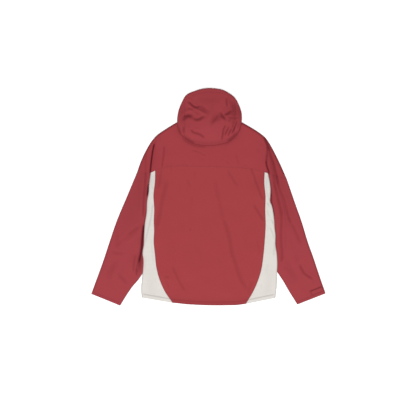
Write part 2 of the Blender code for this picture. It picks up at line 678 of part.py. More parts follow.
def build_box(finish):
    """Box at the foot of the zip that its two sides meet in."""
    low, high = zip_level(ZIP_FOOT) - BOX_HALF_HEIGHT, zip_level(ZIP_FOOT) + BOX_HALF_HEIGHT
    near, far = BOX_Y
    outline = [(near, low), (far, low), (far, high), (near, high)]
    add_object("zip_box", extruded("zip_box", outline, BOX_HALF), finish)


def build_slider(finish):
    """Slider at the head of the zip: two plates and a post, and a bridge on the outside."""
    middle = zip_level(BRIDGE_Y)
    inner = CHAIN / 2 + SLIDER_CLEAR
    outer = inner + SLIDER_PLATE
    start, end = SLIDER_Y
    body = [(start, middle - outer), (end, middle - outer), (end, middle + outer),
            (start, middle + outer), (start, middle + inner), (SLIDER_POST_Y, middle + inner),
            (SLIDER_POST_Y, middle - inner), (start, middle - inner)]
    slider = add_object("zip_slider", extruded("zip_slider", body, SLIDER_HALF), finish)
    top = middle - outer + SLIDER_PLATE / 2
    roof = middle - outer - BRIDGE_ROOM
    near, far = BRIDGE_Y - BRIDGE_ROOM, BRIDGE_Y + BRIDGE_ROOM
    arch = [(near - BRIDGE_BAR, top), (near, top), (near, roof), (far, roof),
            (far, top), (far + BRIDGE_BAR, top), (far + BRIDGE_BAR, roof - BRIDGE_BAR),
            (near - BRIDGE_BAR, roof - BRIDGE_BAR)]
    bridge = add_object("slider_bridge", extruded("slider_bridge", arch, BRIDGE_HALF), finish)
    bridge.hide_render = True
    bridge.display_type = "WIRE"
    join = slider.modifiers.new("bridge", "BOOLEAN")
    join.operation = "UNION"
    join.object = bridge


def build_pull(finish):
    """Pull: a plate whose eye goes round the bridge, with its origin on the bar that it turns on."""
    plate_z = zip_level(BRIDGE_Y) - CHAIN / 2 - SLIDER_CLEAR - SLIDER_PLATE
    across = (-PULL_HALF, -PULL_EYE_HALF, PULL_EYE_HALF, PULL_HALF)
    back = (PULL / 2, -PULL / 2, -PULL_EYE, -PULL_LENGTH)
    grid = np.array([[(x, y, 0.0) for x in across] for y in back])
    around_eye = [grid[0:2], grid[1:3, 0:2], grid[1:3, 2:4], grid[2:4]]
    sheet = sheet_from(around_eye)
    thicken(sheet, PULL)
    mesh = bpy.data.meshes.new("zip_pull")
    sheet.to_mesh(mesh)
    sheet.free()
    pull = bpy.data.objects.new("zip_pull", mesh)
    pull.data.materials.append(finish)
    pull.location = (-MIDDLE[0], BRIDGE_Y - MIDDLE[1], plate_z - BRIDGE_ROOM / 2)
    bpy.context.collection.objects.link(pull)


def build_cuff_tab(side, finish):
    """Fastening tab that lies on the cuff, parallel to its edge."""
    corner = side.outer[-1]
    along = heading(corner, side.inner[-1])
    up = heading(corner, side.outer[-2])
    start = corner + along * TAB_IN + up * TAB_UP
    low_edge = straight(start, start + along * TAB_LENGTH, 4)
    plan = np.stack([low_edge, low_edge + up * TAB_WIDTH])

    def on_sleeve(x, y):
        return sleeve_height(x, y) + CLOTH + LAY

    add_cloth("cuff_tab", [raised(plan, on_sleeve)], finish)


# ---------------------------------------------------------------- run

def clear_scene():
    for thing in list(bpy.data.objects):
        bpy.data.objects.remove(thing)


def main():
    clear_scene()
    red = material("shell_red", RED, 0.55)
    cream = material("shell_cream", CREAM, 0.6)
    left, right = Side("left"), Side("right")
    build_back(left, right, red)
    build_yoke(left, right, red)
    outline = HoodOutline()
    for side in (left, right):
        build_side_panel(side, cream)
        build_front(side, red)
        build_sleeve(side, red)
        build_hood_side(outline, side, red)
    build_hood_centre(outline, red)
    build_cuff_tab(right, red)
    build_tapes(material("zip_tape", RED_TAPE, 0.7), material("zip_chain", DARK_METAL, 0.5))
    metal = material("zip_metal", DARK_METAL, 0.35, 1.0)
    build_box(metal)
    build_slider(metal)
    build_pull(metal)


main()
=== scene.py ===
"""Looks of a hooded shell jacket that lies face down: its cloth, seams, stitches, zip, light and camera.

The jacket frame has X across the back, Y from the hem to the hood and Z up from the surface, in metres.
It starts at the middle of the hem, and MIDDLE brings each piece to the part's origin. Tables of points
give x and y in this frame in millimetres, and in_metres and creased turn them into metres. "left" and
"right" are the wearer's, which are also those of the back as it is seen here.
A grid of cloth is an array of rows and columns, and each point in it holds x, y, z and shade. Shade is
how much of the light a crease keeps off the cloth, from 0 to 1, and it darkens the colour there.
"""
import math

import bmesh
import bpy
import numpy as np
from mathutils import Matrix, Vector


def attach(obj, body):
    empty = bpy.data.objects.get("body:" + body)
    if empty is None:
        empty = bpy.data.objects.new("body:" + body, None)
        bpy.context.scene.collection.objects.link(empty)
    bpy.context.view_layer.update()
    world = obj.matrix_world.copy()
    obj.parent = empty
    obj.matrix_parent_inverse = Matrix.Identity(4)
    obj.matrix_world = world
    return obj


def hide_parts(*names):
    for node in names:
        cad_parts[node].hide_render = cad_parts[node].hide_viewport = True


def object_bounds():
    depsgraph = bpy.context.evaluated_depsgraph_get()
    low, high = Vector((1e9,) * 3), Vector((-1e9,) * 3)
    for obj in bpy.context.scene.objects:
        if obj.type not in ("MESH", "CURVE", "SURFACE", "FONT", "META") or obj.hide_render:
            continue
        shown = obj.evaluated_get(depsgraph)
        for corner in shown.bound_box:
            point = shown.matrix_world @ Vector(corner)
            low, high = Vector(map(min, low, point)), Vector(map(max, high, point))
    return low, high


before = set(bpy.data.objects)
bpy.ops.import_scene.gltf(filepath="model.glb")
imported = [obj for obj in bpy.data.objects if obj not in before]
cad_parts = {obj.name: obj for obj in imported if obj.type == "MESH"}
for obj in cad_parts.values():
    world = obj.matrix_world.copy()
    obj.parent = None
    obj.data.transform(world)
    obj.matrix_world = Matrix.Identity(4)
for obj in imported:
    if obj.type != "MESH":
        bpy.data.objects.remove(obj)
CAD_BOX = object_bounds()

MM = 0.001
MIDDLE = np.array((-0.00475, 0.4326))


def in_metres(*points):
    """Points given in millimetres."""
    return tuple((x / 1000, y / 1000) for x, y in points)


def creased(*rows):
    """Rows of a table of creases, whose points are given in millimetres."""
    return tuple((half_width, depth, dark, in_metres(*points)) for half_width, depth, dark, *points in rows)


def lifted(line, rise):
    """A line of points moved towards the hood."""
    return [(x, y + rise) for x, y in line]


def mirrored(table, side):
    """A right-hand table of points, turned over for the left side."""
    sign = -1 if side == "left" else 1
    return [(sign * x, y) for x, y in table]


# Cloth and how it is layered, as in the solids that it stands for.
CLOTH = 1.2 * MM
SHELL = 0.9 * MM            # thickness that shows
DRAW_IN = 0.06 * MM         # each piece's edge stops this far short of the seam line
LAY = 0.4 * MM              # gap between pieces that lie on each other
RETURN_LAY = 1.6 * MM       # the same under the hood's cloth that comes back to the neck
LOWER = CLOTH / 2           # middle of the cloth that lies on the surface
LOWEST = 2.0 * MM           # creases never press the upper cloth further down than this
UPPER = 4.9 * MM            # middle of the cloth on top
BODY_REACH = 5 * MM         # how far the body's cloth, a sleeve's or the hood's swings out as it turns over
SLEEVE_REACH = 4 * MM
HOOD_REACH = 7 * MM
EASE = 25 * MM              # the swing's direction turns towards its seams this near the ends of an edge
SHOULDER_EASE = 70 * MM
STRIP = 18 * MM             # the yoke's width on the hidden side of the shoulder
CHEST = 0.545               # where the fronts' lower stretch meets the one over the shoulders
THROAT = 0.655              # where the fronts end and the hood's cheeks start, at the zip
BODY_INSIDE = (0.0, 0.3)    # a place well inside the body

# How far the body rises over a sleeve, the zip's slider and the neck, and where.
SLEEVE_LIFT = 6 * MM
SLEEVE_LIES = (0.125, 0.455)            # a sleeve lies wholly under the body from here to here
UPPER_OVER_SLEEVE = (0.05, 0.53)        # and not at all past these, for the upper and the lower cloth
LOWER_OVER_SLEEVE = (0.085, 0.50)
UPPER_SLOPE = (0.12, 0.22)              # from the middle out, no rise at the first and all at the second
LOWER_SLOPE = (0.175, 0.215)
SLIDER_LIFT = 3.4 * MM
SLIDER_SLOPES = ((0.60, 0.67), (0.735, 0.80))
SLIDER_SPREAD = 0.085                   # the fronts come down again this far from the zip
NECK_LIFT = 4.6 * MM
NECK_LIFT_Y = 0.725
NECK_SIZE = 0.11
NECK_TOP = 0.35             # share of that size which has the whole rise

# Hood: the height of its edge at the crown and at the neck, and the dome inside it.
HOOD_EDGE_CROWN = 14 * MM
HOOD_EDGE_NECK = 24 * MM
HOOD_EDGE_SLOPE = (0.69, 0.80)
HOOD_RISE = 20 * MM
HOOD_CENTRE = (0.0, 0.751)
HOOD_HALF = (0.128, 0.116)
HOOD_SQUARENESS = 2.4
DOME_POWER = 1.3
HOOD_CALM = 0.3             # creases of the hood fade out towards its edge from here
HOOD_CLEAR_Y = 0.746        # the hood's side lies over the yoke up to here
CROWN_ROW = 9 * MM          # from the hood's fold to the stitches of its crown
FACE_ROW = 5 * MM           # from the face opening to its stitches

# Seams and sewing.
HEM_DEPTH = 15 * MM
CUFF_DEPTH = 11 * MM
SEAM_ROW = 2.6 * MM         # from a seam to the row of stitches beside it
STITCH = 2.4 * MM
STITCH_GAP = 1.0 * MM
THREAD = 0.26 * MM          # a stitch's half width
STITCH_SHOULDERS = (0.22, 0.78)         # a stitch is that wide between these shares of its length
TAB_ROW = 1.8 * MM          # from the tab's edges to its stitches
SEAM_WIDTH = 1.9 * MM
SEAM_EVERY = 8              # a seam's valley follows every eighth point of its line
BACK_SEAM = (0.8, 0.25)     # depth of the valley in millimetres, and how dark its painted shade is
PANEL_SEAM = (0.8, 0.06)
HOOD_SEAM = (0.2, 0.03)
PUCKER = 0.6                # height of a seam's puckers, for each unit of its depth
PUCKER_REACH = 14 * MM
PUCKER_START = 3 * MM
PUCKER_WAVE = 4.3 * MM      # short waves along the seam, whose spacing drifts and which come in groups
PUCKER_DRIFT = 31 * MM
PUCKER_GROUP = 11 * MM
PUCKER_SWELL = 19 * MM      # long waves below them
UNDER_SEAM = 0.6            # a seam's relief on the hidden side, for each unit on top
UNDER_RIPPLE = 0.3

# Creases and unevenness.
CREASE_STEPS = 6            # steps along a crease for each point of its table
CREASE_REACH = 4            # how far its banks reach, in half widths
FADE = 5.0                  # a crease fades out over this many of its half widths
FADE_MOST = 0.45            # and over no more than this share of its length
BANK = 0.22                 # height of the banks beside a crease, for each unit of its depth
EDGE_SHADE = 0.30           # how dark painted shade makes the cloth where it turns over an edge; the next two for the shoulders and hood
SHOULDER_SHADE = 0.75
HOOD_SHADE = 0.25
RIPPLES = 9
RIPPLE_LENGTH = 30 * MM
RIPPLE_SHRINK = 0.86        # each wave's length, as a share of the one before
RIPPLE_SLOPE = 0.012
RIPPLE_TURN = 2.4           # angle from each wave's direction to the next
RIPPLE_BEND = 12 * MM       # how far the waves' lines bend, and over what length
RIPPLE_BENDS = 50 * MM

# Zip.
TAPE = 1.0 * MM
TAPE_INNER = 2.9 * MM
TAPE_OUTER = 18 * MM
CHAIN = 2.2 * MM            # thickness of the teeth
ZIP_EDGE = 6 * MM           # from the zip's middle to the fronts' edges
ZIP_FLAT = 20 * MM          # from the zip's middle to where the fronts start to bend
ZIP_FOOT = 0.0105
ZIP_HEAD = 0.7035
CHAIN_ENDS = (1 * MM, 6 * MM)           # from the tapes' foot and head to the first and last tooth
TOOTH_PITCH = 1.7 * MM
TOOTH_EDGE = 0.14 * MM
# Half of a tooth's outline, in millimetres: out from the chain's middle, and along it.
TOOTH = ((2.6, 0.45), (1.2, 0.45), (0.6, 0.75), (-0.5, 0.7))

# Cuff tab, on the right sleeve.
TAB_IN = 5 * MM
TAB_UP = 14 * MM
TAB_LENGTH = 48 * MM
TAB_WIDTH = 16 * MM

# How finely the cloth is meshed: the usual spacing, and closer rows beside an edge or a row of stitches.
FINE = 1.5 * MM
TAB_STEP = 2.0 * MM
HOOD_STEP = 2.8 * MM
STEP = 3.4 * MM
COARSE = 6.0 * MM
EDGE_ROWS = np.array((0.0, 0.7, 1.5, 2.6, 4.2, 6.4)) * MM
ROW_ROWS = np.array((-3.0, -1.2, 0.0, 1.2, 3.0)) * MM
TURN_STEPS = 10             # steps of the cloth round a turned edge
# About how long the edges are that the grids are spaced along.
SIDE_LENGTH = 0.54
SLEEVE_LENGTH = 0.53
SHOULDER_LENGTH = 0.33
BACK_WIDTH = 0.45
SLEEVE_WIDTH = 0.15
SIDE_WIDTH = 0.10
FRONT_WIDTH = 0.20
NECK_LENGTH = 0.12
HOOD_WIDTH = 0.22
HOOD_LENGTH = 0.17
ARMHOLE_LENGTH = {"left": 0.045, "right": 0.06}

# Points on the left and right side of the jacket.
SHOULDER = {
    "left": in_metres((-290.5, 527.5), (-274.5, 572.5), (-254.5, 616), (-229, 657.5), (-214, 675),
        (-175.5, 702.5), (-135, 727.5), (-92, 750)),
    "right": in_metres((308.5, 502), (276.5, 574), (252.5, 621), (238, 647), (225, 666.5), (205.5, 683),
        (184, 698), (139, 724.5), (92, 750)),
}
SLEEVE_OUTER = {
    "left": in_metres((-290.5, 527.5), (-332, 428), (-373.5, 328.5), (-399.5, 252), (-425, 175),
        (-452.5, 99), (-472.5, 44.5)),
    "right": in_metres((308.5, 502), (341, 407.5), (366, 337), (396, 240), (413, 193), (445, 98),
        (463, 46.5)),
}
SLEEVE_INNER = {
    "left": in_metres((-236, 529), (-241.3, 493), (-243.6, 464), (-242.5, 445), (-234, 380), (-231, 300),
        (-235, 235), (-245, 173), (-264, 134.5), (-287, 99), (-308.5, 74), (-325.5, 50), (-358, -2)),
    "right": in_metres((234, 527), (241.8, 490), (243.8, 464), (240.5, 445), (233, 380), (231, 300),
        (236, 235), (247, 178), (264, 144), (298, 90), (312.5, 64.5), (351, 2.5)),
}
SIDE_EDGE = {
    "left": in_metres((-234.5, 529), (-240, 493), (-243, 450), (-249, 415), (-251, 370), (-258, 325),
        (-261, 280), (-262, 245), (-267, 204), (-264, 184), (-265, 145), (-270, 100), (-273, 60),
        (-270.5, 30)),
    "right": in_metres((232.5, 527.5), (240.5, 490), (243, 455), (242, 435), (241.5, 413), (247.5, 399),
        (253.5, 372), (258, 333), (259, 312), (262.5, 282), (262.5, 240), (267.5, 208), (270, 165),
        (268, 120), (267.5, 75), (262.5, 29)),
}
SIDE_SEAM = {
    "left": in_metres((-217.5, 537.5), (-218, 495), (-223.8, 440), (-220.8, 380), (-222.5, 335),
        (-221.2, 298), (-223, 255), (-218, 202), (-213, 155), (-201.5, 108), (-180, 57), (-148, 9.3)),
    "right": in_metres((220, 530.5), (218.2, 490), (223, 435), (222, 378), (223.6, 320), (219.5, 252),
        (214.5, 198), (206.5, 143), (196, 106), (174.5, 55), (145, 5)),
}
YOKE_SEAM = in_metres((-217.5, 537.5), (-186, 548), (-38, 554), (100, 549), (180, 541.5), (220, 530.5))
HEM = in_metres((-148, 9.3), (-70, 2), (0, -0.8), (70, -0.7), (110, 0.3), (145, 5))
HEM_LINE = in_metres((-270.5, 30), (-209, 19.5)) + HEM + in_metres((204, 17), (262.5, 29))
BACK_NECK = in_metres((-88, 745), (-45, 737), (0, 735), (45, 737), (88, 745))
FRONT_NECK = in_metres((6, 655), (30, 661), (56, 682), (76.5, 712), (83, 733.5))
FRONT_HEM = ((ZIP_EDGE, 0.001), (ZIP_FLAT, 0.0005), (0.080, 0.002))

# The hood's outline, and its pieces' seams and edges.
HOOD_CROWN = in_metres((-104.3, 822.5), (-97, 834.5), (-86, 843.5), (-60, 854.3), (-28, 864), (-3, 866.5),
    (25, 864.5), (48, 860.5), (82, 843), (95, 833.5), (108.8, 816.3))
HOOD_OVERHANG = in_metres((-106.5, 671.5), (-90, 657.5), (-66, 644.5), (-38, 638), (2, 635.5), (42, 640.5),
    (74, 650.5), (103, 674))
HOOD_SIDE = {
    "left": in_metres((-106.5, 671.5), (-121.5, 689), (-127.5, 712), (-128.8, 742), (-123, 778),
        (-115, 800), (-104.3, 822.5)),
    "right": in_metres((103, 674), (117, 692), (125, 718), (128, 740), (127.5, 764), (122.5, 784),
        (108.8, 816.3)),
}
HOOD_NECK = in_metres((-80, 744.5), (-45, 736.5), (0, 734.5), (45, 736.5), (80, 744.5))
HOOD_NECK_END = (0.090, 0.7475)
BRIM = in_metres((-56, 833), (-30, 843), (0, 846), (30, 843), (56, 833))
FACE_EDGE = in_metres((6, 655), (6, 690), (9, 716), (34, 733), (60, 765), (66, 800), (56, 833))

# Creases: half width and depth of the trough in millimetres, how dark its painted shade is, from 0 to 1, and
# then the points that it runs through. A negative depth makes a ridge, and no depth a band of painted shade.
ARMHOLE_CREASES = creased(
    (3, 3.6, 1, (-219, 652), (-224, 632), (-228, 612), (-231, 590), (-234, 565), (-235.8, 545),
     (-238.5, 520)),
    (1.8, 0.8, 0.25, (-207, 661), (-215, 654), (-222, 642)),
    (3.2, -1.2, 0, (-215, 640), (-221, 605), (-227, 572), (-229, 545)),
    (2.8, 1.6, 0.26, (-181.5, 642), (-183.5, 606), (-187, 580), (-191.5, 546)),
    (4, -0.7, 0, (-172, 636), (-174, 600), (-179, 562)),
    (4, 1.2, 0.22, (-248, 640), (-254, 600), (-256, 566), (-256, 530), (-257, 480)),
    (4, 0.8, 0.05, (-201, 690), (-199.5, 668), (-201, 640)),
    (4.4, 3.2, 0.64, (210, 682), (218, 669), (226, 654), (231, 642), (237, 625), (243, 602)),
    (4.4, 2.2, 0.44, (237, 624), (244, 602), (251, 582), (258, 560), (262, 541), (268, 520), (272, 500),
     (277, 470)),
    (4.2, 1.8, 0.46, (230, 650), (230, 606), (227.5, 585), (227, 560)),
    (3.4, 3, 0.72, (227, 588), (227, 567), (230, 552), (235, 538), (240, 516)),
    (4, -1, 0, (258, 596), (266, 570), (276, 548)),
    (2.4, 0.8, 0.4, (221, 534), (228, 533), (236, 529)),
)
BACK_CREASES = creased(
    # Left.
    (4, 1, 0.14, (-191, 552), (-196, 520), (-200, 488), (-208.5, 462)),
    (7.5, 1.6, 0.13, (-169, 512), (-173, 482), (-184, 440), (-192, 402), (-199, 362), (-207, 330),
     (-212, 292)),
    (4, -0.7, 0, (-211, 380), (-213, 345), (-215, 312)),
    (5, 0.9, 0.08, (-96, 516), (-85, 494), (-73, 464)),
    (4.5, 0.7, 0.05, (-63, 548), (-60, 534), (-64, 500)),
    (6, 0.6, 0.04, (-75, 455), (-71, 430), (-76, 390)),
    (5, 1.4, 0.11, (-150, 168), (-139, 138), (-126, 110), (-113, 85), (-92, 50)),
    (6, 0.9, 0.12, (-185, 119), (-169, 113), (-154, 117)),
    (4, 0.8, 0.07, (-174, 104), (-167, 82), (-162, 62)),
    (9, 0.6, 0.03, (-118, 360), (-106, 310), (-112, 262)),
    (9, 0.5, 0.02, (-50, 250), (-30, 190), (-36, 140)),
    (5, 0.7, 0.06, (-78, 318), (-75, 306), (-79, 292)),
    # Right.
    (8, 1.4, 0.06, (24, 520), (29, 470), (40, 420), (52, 365), (66, 322)),
    (7.5, 2, 0.12, (54, 358), (70, 310), (83, 262), (90, 215), (103, 175), (116, 135), (128, 103),
     (144, 76), (157, 56)),
    (5.5, 1.2, 0.09, (74, 556), (77, 534), (92, 510), (103, 492), (120, 472)),
    (3.6, 1.6, 0.19, (165, 556), (170, 538), (178, 516), (186, 490), (193, 472), (199, 456), (208, 434),
     (217, 418)),
    (3.4, -0.7, 0, (208, 512), (210, 480), (209, 452)),
    (4.4, 1.5, 0.19, (170, 410), (182, 392), (194, 372), (204, 357), (219, 332)),
    (4, 0.8, 0.06, (184, 276), (190, 252), (196, 222), (193, 196)),
    (4, 0.8, 0.1, (158, 104), (161, 90), (158, 60), (156, 40)),
    (4, 0.6, 0.05, (172, 100), (168, 84), (164, 70)),
    (7, 0.6, 0.04, (33, 200), (42, 176), (48, 150)),
    (9, 0.6, 0.03, (150, 320), (142, 270), (152, 220)),
    # Yoke, with the shade beside the hood first.
    (3.6, 0, 0.24, (-114, 672), (-94, 654), (-69, 640.5), (-40, 634), (-10, 631.5)),
    (3.6, 0, 0.16, (118, 688), (105, 672), (91, 660), (76, 648), (52, 639)),
    (5, 0.8, 0.07, (100, 625), (107, 600), (115, 575), (121, 548)),
    (5, 0.6, 0.05, (60, 580), (74, 571), (86, 566)),
    (5, 0.6, 0.05, (136, 568), (148, 560), (158, 563)),
    (6, 0.6, 0.04, (-100, 590), (-97, 564), (-78, 556)),
    (3.6, 0.8, 0.07, (-76, 622), (-52, 616), (-36, 611), (-24, 602), (-10, 613)),
    (4, 0.5, 0.03, (-36, 600), (-32, 588), (-14, 586)),
    (8, 0.8, 0.04, (188, 640), (196, 622), (206, 612)),
    (3.4, 0.5, 0.03, (1, 632), (0, 600), (2, 566)),
    (4, 0.6, 0.05, (-169, 580), (-168, 562), (-169, 540)),
    (4, 0.6, 0.05, (-154, 582), (-153, 556), (-157, 524)),
)
PANEL_CREASES = creased(
    # Left.
    (2.8, 1, 0.04, (-234, 520), (-232, 496), (-229, 474), (-226, 458)),
    (3, 1.4, 0.14, (-224, 412), (-229, 384), (-234, 352), (-240, 325), (-247, 298), (-253, 272),
     (-256, 248)),
    (3, 0.7, 0.05, (-242, 430), (-242, 400), (-244, 370)),
    (3.6, 0.8, 0.06, (-232, 275), (-231, 240), (-226, 200), (-224, 160)),
    (4, 0.7, 0.05, (-257, 210), (-256, 170), (-258, 140)),
    (5, 0.7, 0.05, (-220, 130), (-215, 95), (-208, 70)),
    (20, 0, 0.06, (-240, 160), (-235, 90), (-225, 10)),
    (5, 0.5, 0.03, (-242, 130), (-237, 100), (-240, 70)),
    # Right.
    (2.8, 1, 0.07, (227, 516), (228.5, 490), (227, 472), (232, 445), (240, 414)),
    (2.8, 1.1, 0.17, (228, 418), (234, 403), (242, 392)),
    (3, 0.8, 0.08, (231, 392), (232, 372), (241, 352)),
    (2.8, 1.2, 0.2, (245, 348), (251, 334), (257, 318)),
    (3, 1, 0.15, (238, 318), (246, 302), (253, 286), (256, 262)),
    (3, 0.7, 0.08, (232, 322), (232, 292)),
    (3.6, 0.8, 0.12, (256, 262), (259, 235), (256, 210), (258, 190)),
    (5, 0.6, 0.04, (238, 180), (229, 140), (234, 110)),
    (3, 0.8, 0.07, (210, 94), (206, 80), (212, 64)),
    (3.6, 0.6, 0.04, (220, 60), (236, 63), (256, 68)),
    (20, 0, 0.06, (240, 160), (235, 90), (225, 10)),
    # Painted shade beside the outline above the hem.
    (3, 0, 0.28, (-264, 150), (-270, 100), (-273, 60), (-270.5, 10)),
    (3, 0, 0.28, (268, 150), (267.5, 100), (267, 70), (262.5, 10)),
)
RIGHT_SLEEVE_CREASES = creased(
    (3, 0.6, 0.6, (234, 527), (241.8, 490), (245, 460), (246, 425), (251, 395), (256, 368), (259, 345)),
    (3, 0.8, 0.7, (244, 456), (246.5, 440), (246.8, 420), (249, 402)),
    (1.6, 0, 0.35, (259, 345), (260, 320), (264, 284), (264.5, 245), (268, 215)),
    (4, 2, 0.3, (256, 556), (256, 520), (259, 490), (267, 455), (277, 415), (284, 385), (287, 350)),
    (5, 1.4, 0.25, (283, 400), (287, 360), (287, 320), (285.5, 280), (287, 240), (290, 206), (286, 180),
     (274, 172)),
    (12, 0.6, 0.11, (278, 460), (290, 410), (304, 370), (326, 325), (346, 285)),
    (4.6, 2, 0.26, (261, 560), (269, 522), (273, 492), (284, 458), (296, 428), (303, 400), (311, 370),
     (317, 350), (333, 322)),
    (7, 1.2, 0.15, (322, 345), (338, 306), (352, 276), (364, 235)),
    (12, 0.8, 0.08, (300, 190), (324, 140), (356, 80)),
    (3.2, -1.4, 0, (266, 490), (274, 456), (287, 415), (295, 378), (298, 330)),
    (4, -1.2, 0, (249, 500), (256, 460), (266, 412), (271, 370), (272, 300), (273.5, 240), (276, 170)),
    (3, 0.8, 0.06, (305, 360), (304, 320), (305, 270), (303, 220)),
    (4.4, 1.8, 0.24, (358, 172), (366, 150), (382, 126), (398, 115), (418, 102)),
    (3.6, 0.8, 0.14, (384, 124), (400, 113), (416, 104)),
    (4, 0.7, 0.05, (420, 108), (415, 92), (412, 76)),
    (7, 0.6, 0.05, (296, 165), (306, 148), (326, 138)),
    (8, 0.6, 0.05, (346, 210), (350, 180), (356, 160)),
    # Shade round the cuff tab.
    (2.6, 0, 0.4, (460, 79), (448.4, 74.2), (426, 65.2), (403.7, 56.4), (393, 52.2)),
    (2.4, 0, 0.24, (401, 64), (403, 55.4), (405.6, 48), (408.2, 40.3), (411, 33)),
    (2.2, 0, 0.22, (462, 60.4), (453.7, 56.9), (431, 48), (409, 39.3), (398, 35)),
)
LEFT_SLEEVE_CREASES = creased(
    (5, 1.8, 0.94, (-260, 334), (-264, 308), (-266.5, 285), (-269, 258), (-271, 232), (-274.5, 208),
     (-279, 186), (-284, 156)),
    (3, 0.8, 0.36, (-278, 205), (-282, 182), (-287, 165), (-291, 148), (-293, 134), (-288, 112)),
    (9, 0.6, 0.4, (-274, 226), (-276, 190), (-279, 160), (-282, 118)),
    (3, 0.8, 0.44, (-295, 154), (-292, 142), (-286, 134), (-278, 130)),
    (3.2, 0.8, 0.9, (-243, 492), (-245.5, 475), (-246.8, 460), (-248, 444), (-250, 428)),
    (1.6, 0, 0.35, (-254, 380), (-259, 345), (-261, 320)),
    (3.8, 1.4, 0.28, (-255, 550), (-256, 510), (-260, 470), (-264, 425), (-265, 380), (-266, 345)),
    (2.6, -1.6, 0, (-252, 484), (-255, 450), (-257, 410), (-260, 365)),
    (5, 1, 0.13, (-276, 530), (-278, 490), (-279, 440), (-283, 390), (-294, 355)),
    (8, 1.4, 0.18, (-264, 330), (-286, 312), (-305, 297), (-326, 281), (-344, 268)),
    (6, 0.9, 0.05, (-320, 284), (-350, 262), (-384, 232)),
    (9, 0.7, 0.1, (-364, 320), (-368, 270), (-365, 210)),
    (7, -1, 0, (-276, 304), (-296, 278), (-322, 258), (-342, 246)),
    (6, 0.9, 0.13, (-398, 220), (-378, 211), (-358, 208), (-338, 212)),
    (9, 0.7, 0.09, (-370, 186), (-390, 150), (-414, 98)),
    (10, -0.9, 0, (-336, 215), (-360, 170), (-380, 130), (-404, 90)),
    (3.4, 1.4, 0.2, (-296, 210), (-300, 184), (-304, 156), (-304, 128)),
    (3, -1.2, 0, (-287, 200), (-291, 175), (-297, 140)),
    (3, -1, 0, (-307, 204), (-310, 175), (-314, 140)),
    (6.5, 0.9, 0.12, (-368, 140), (-356, 116), (-340, 100), (-324, 76)),
    (6, 0.6, 0.04, (-388, 138), (-396, 112), (-404, 92)),
    (3.4, -1.4, 0, (-264, 340), (-270, 300), (-276, 262), (-280, 226)),
)
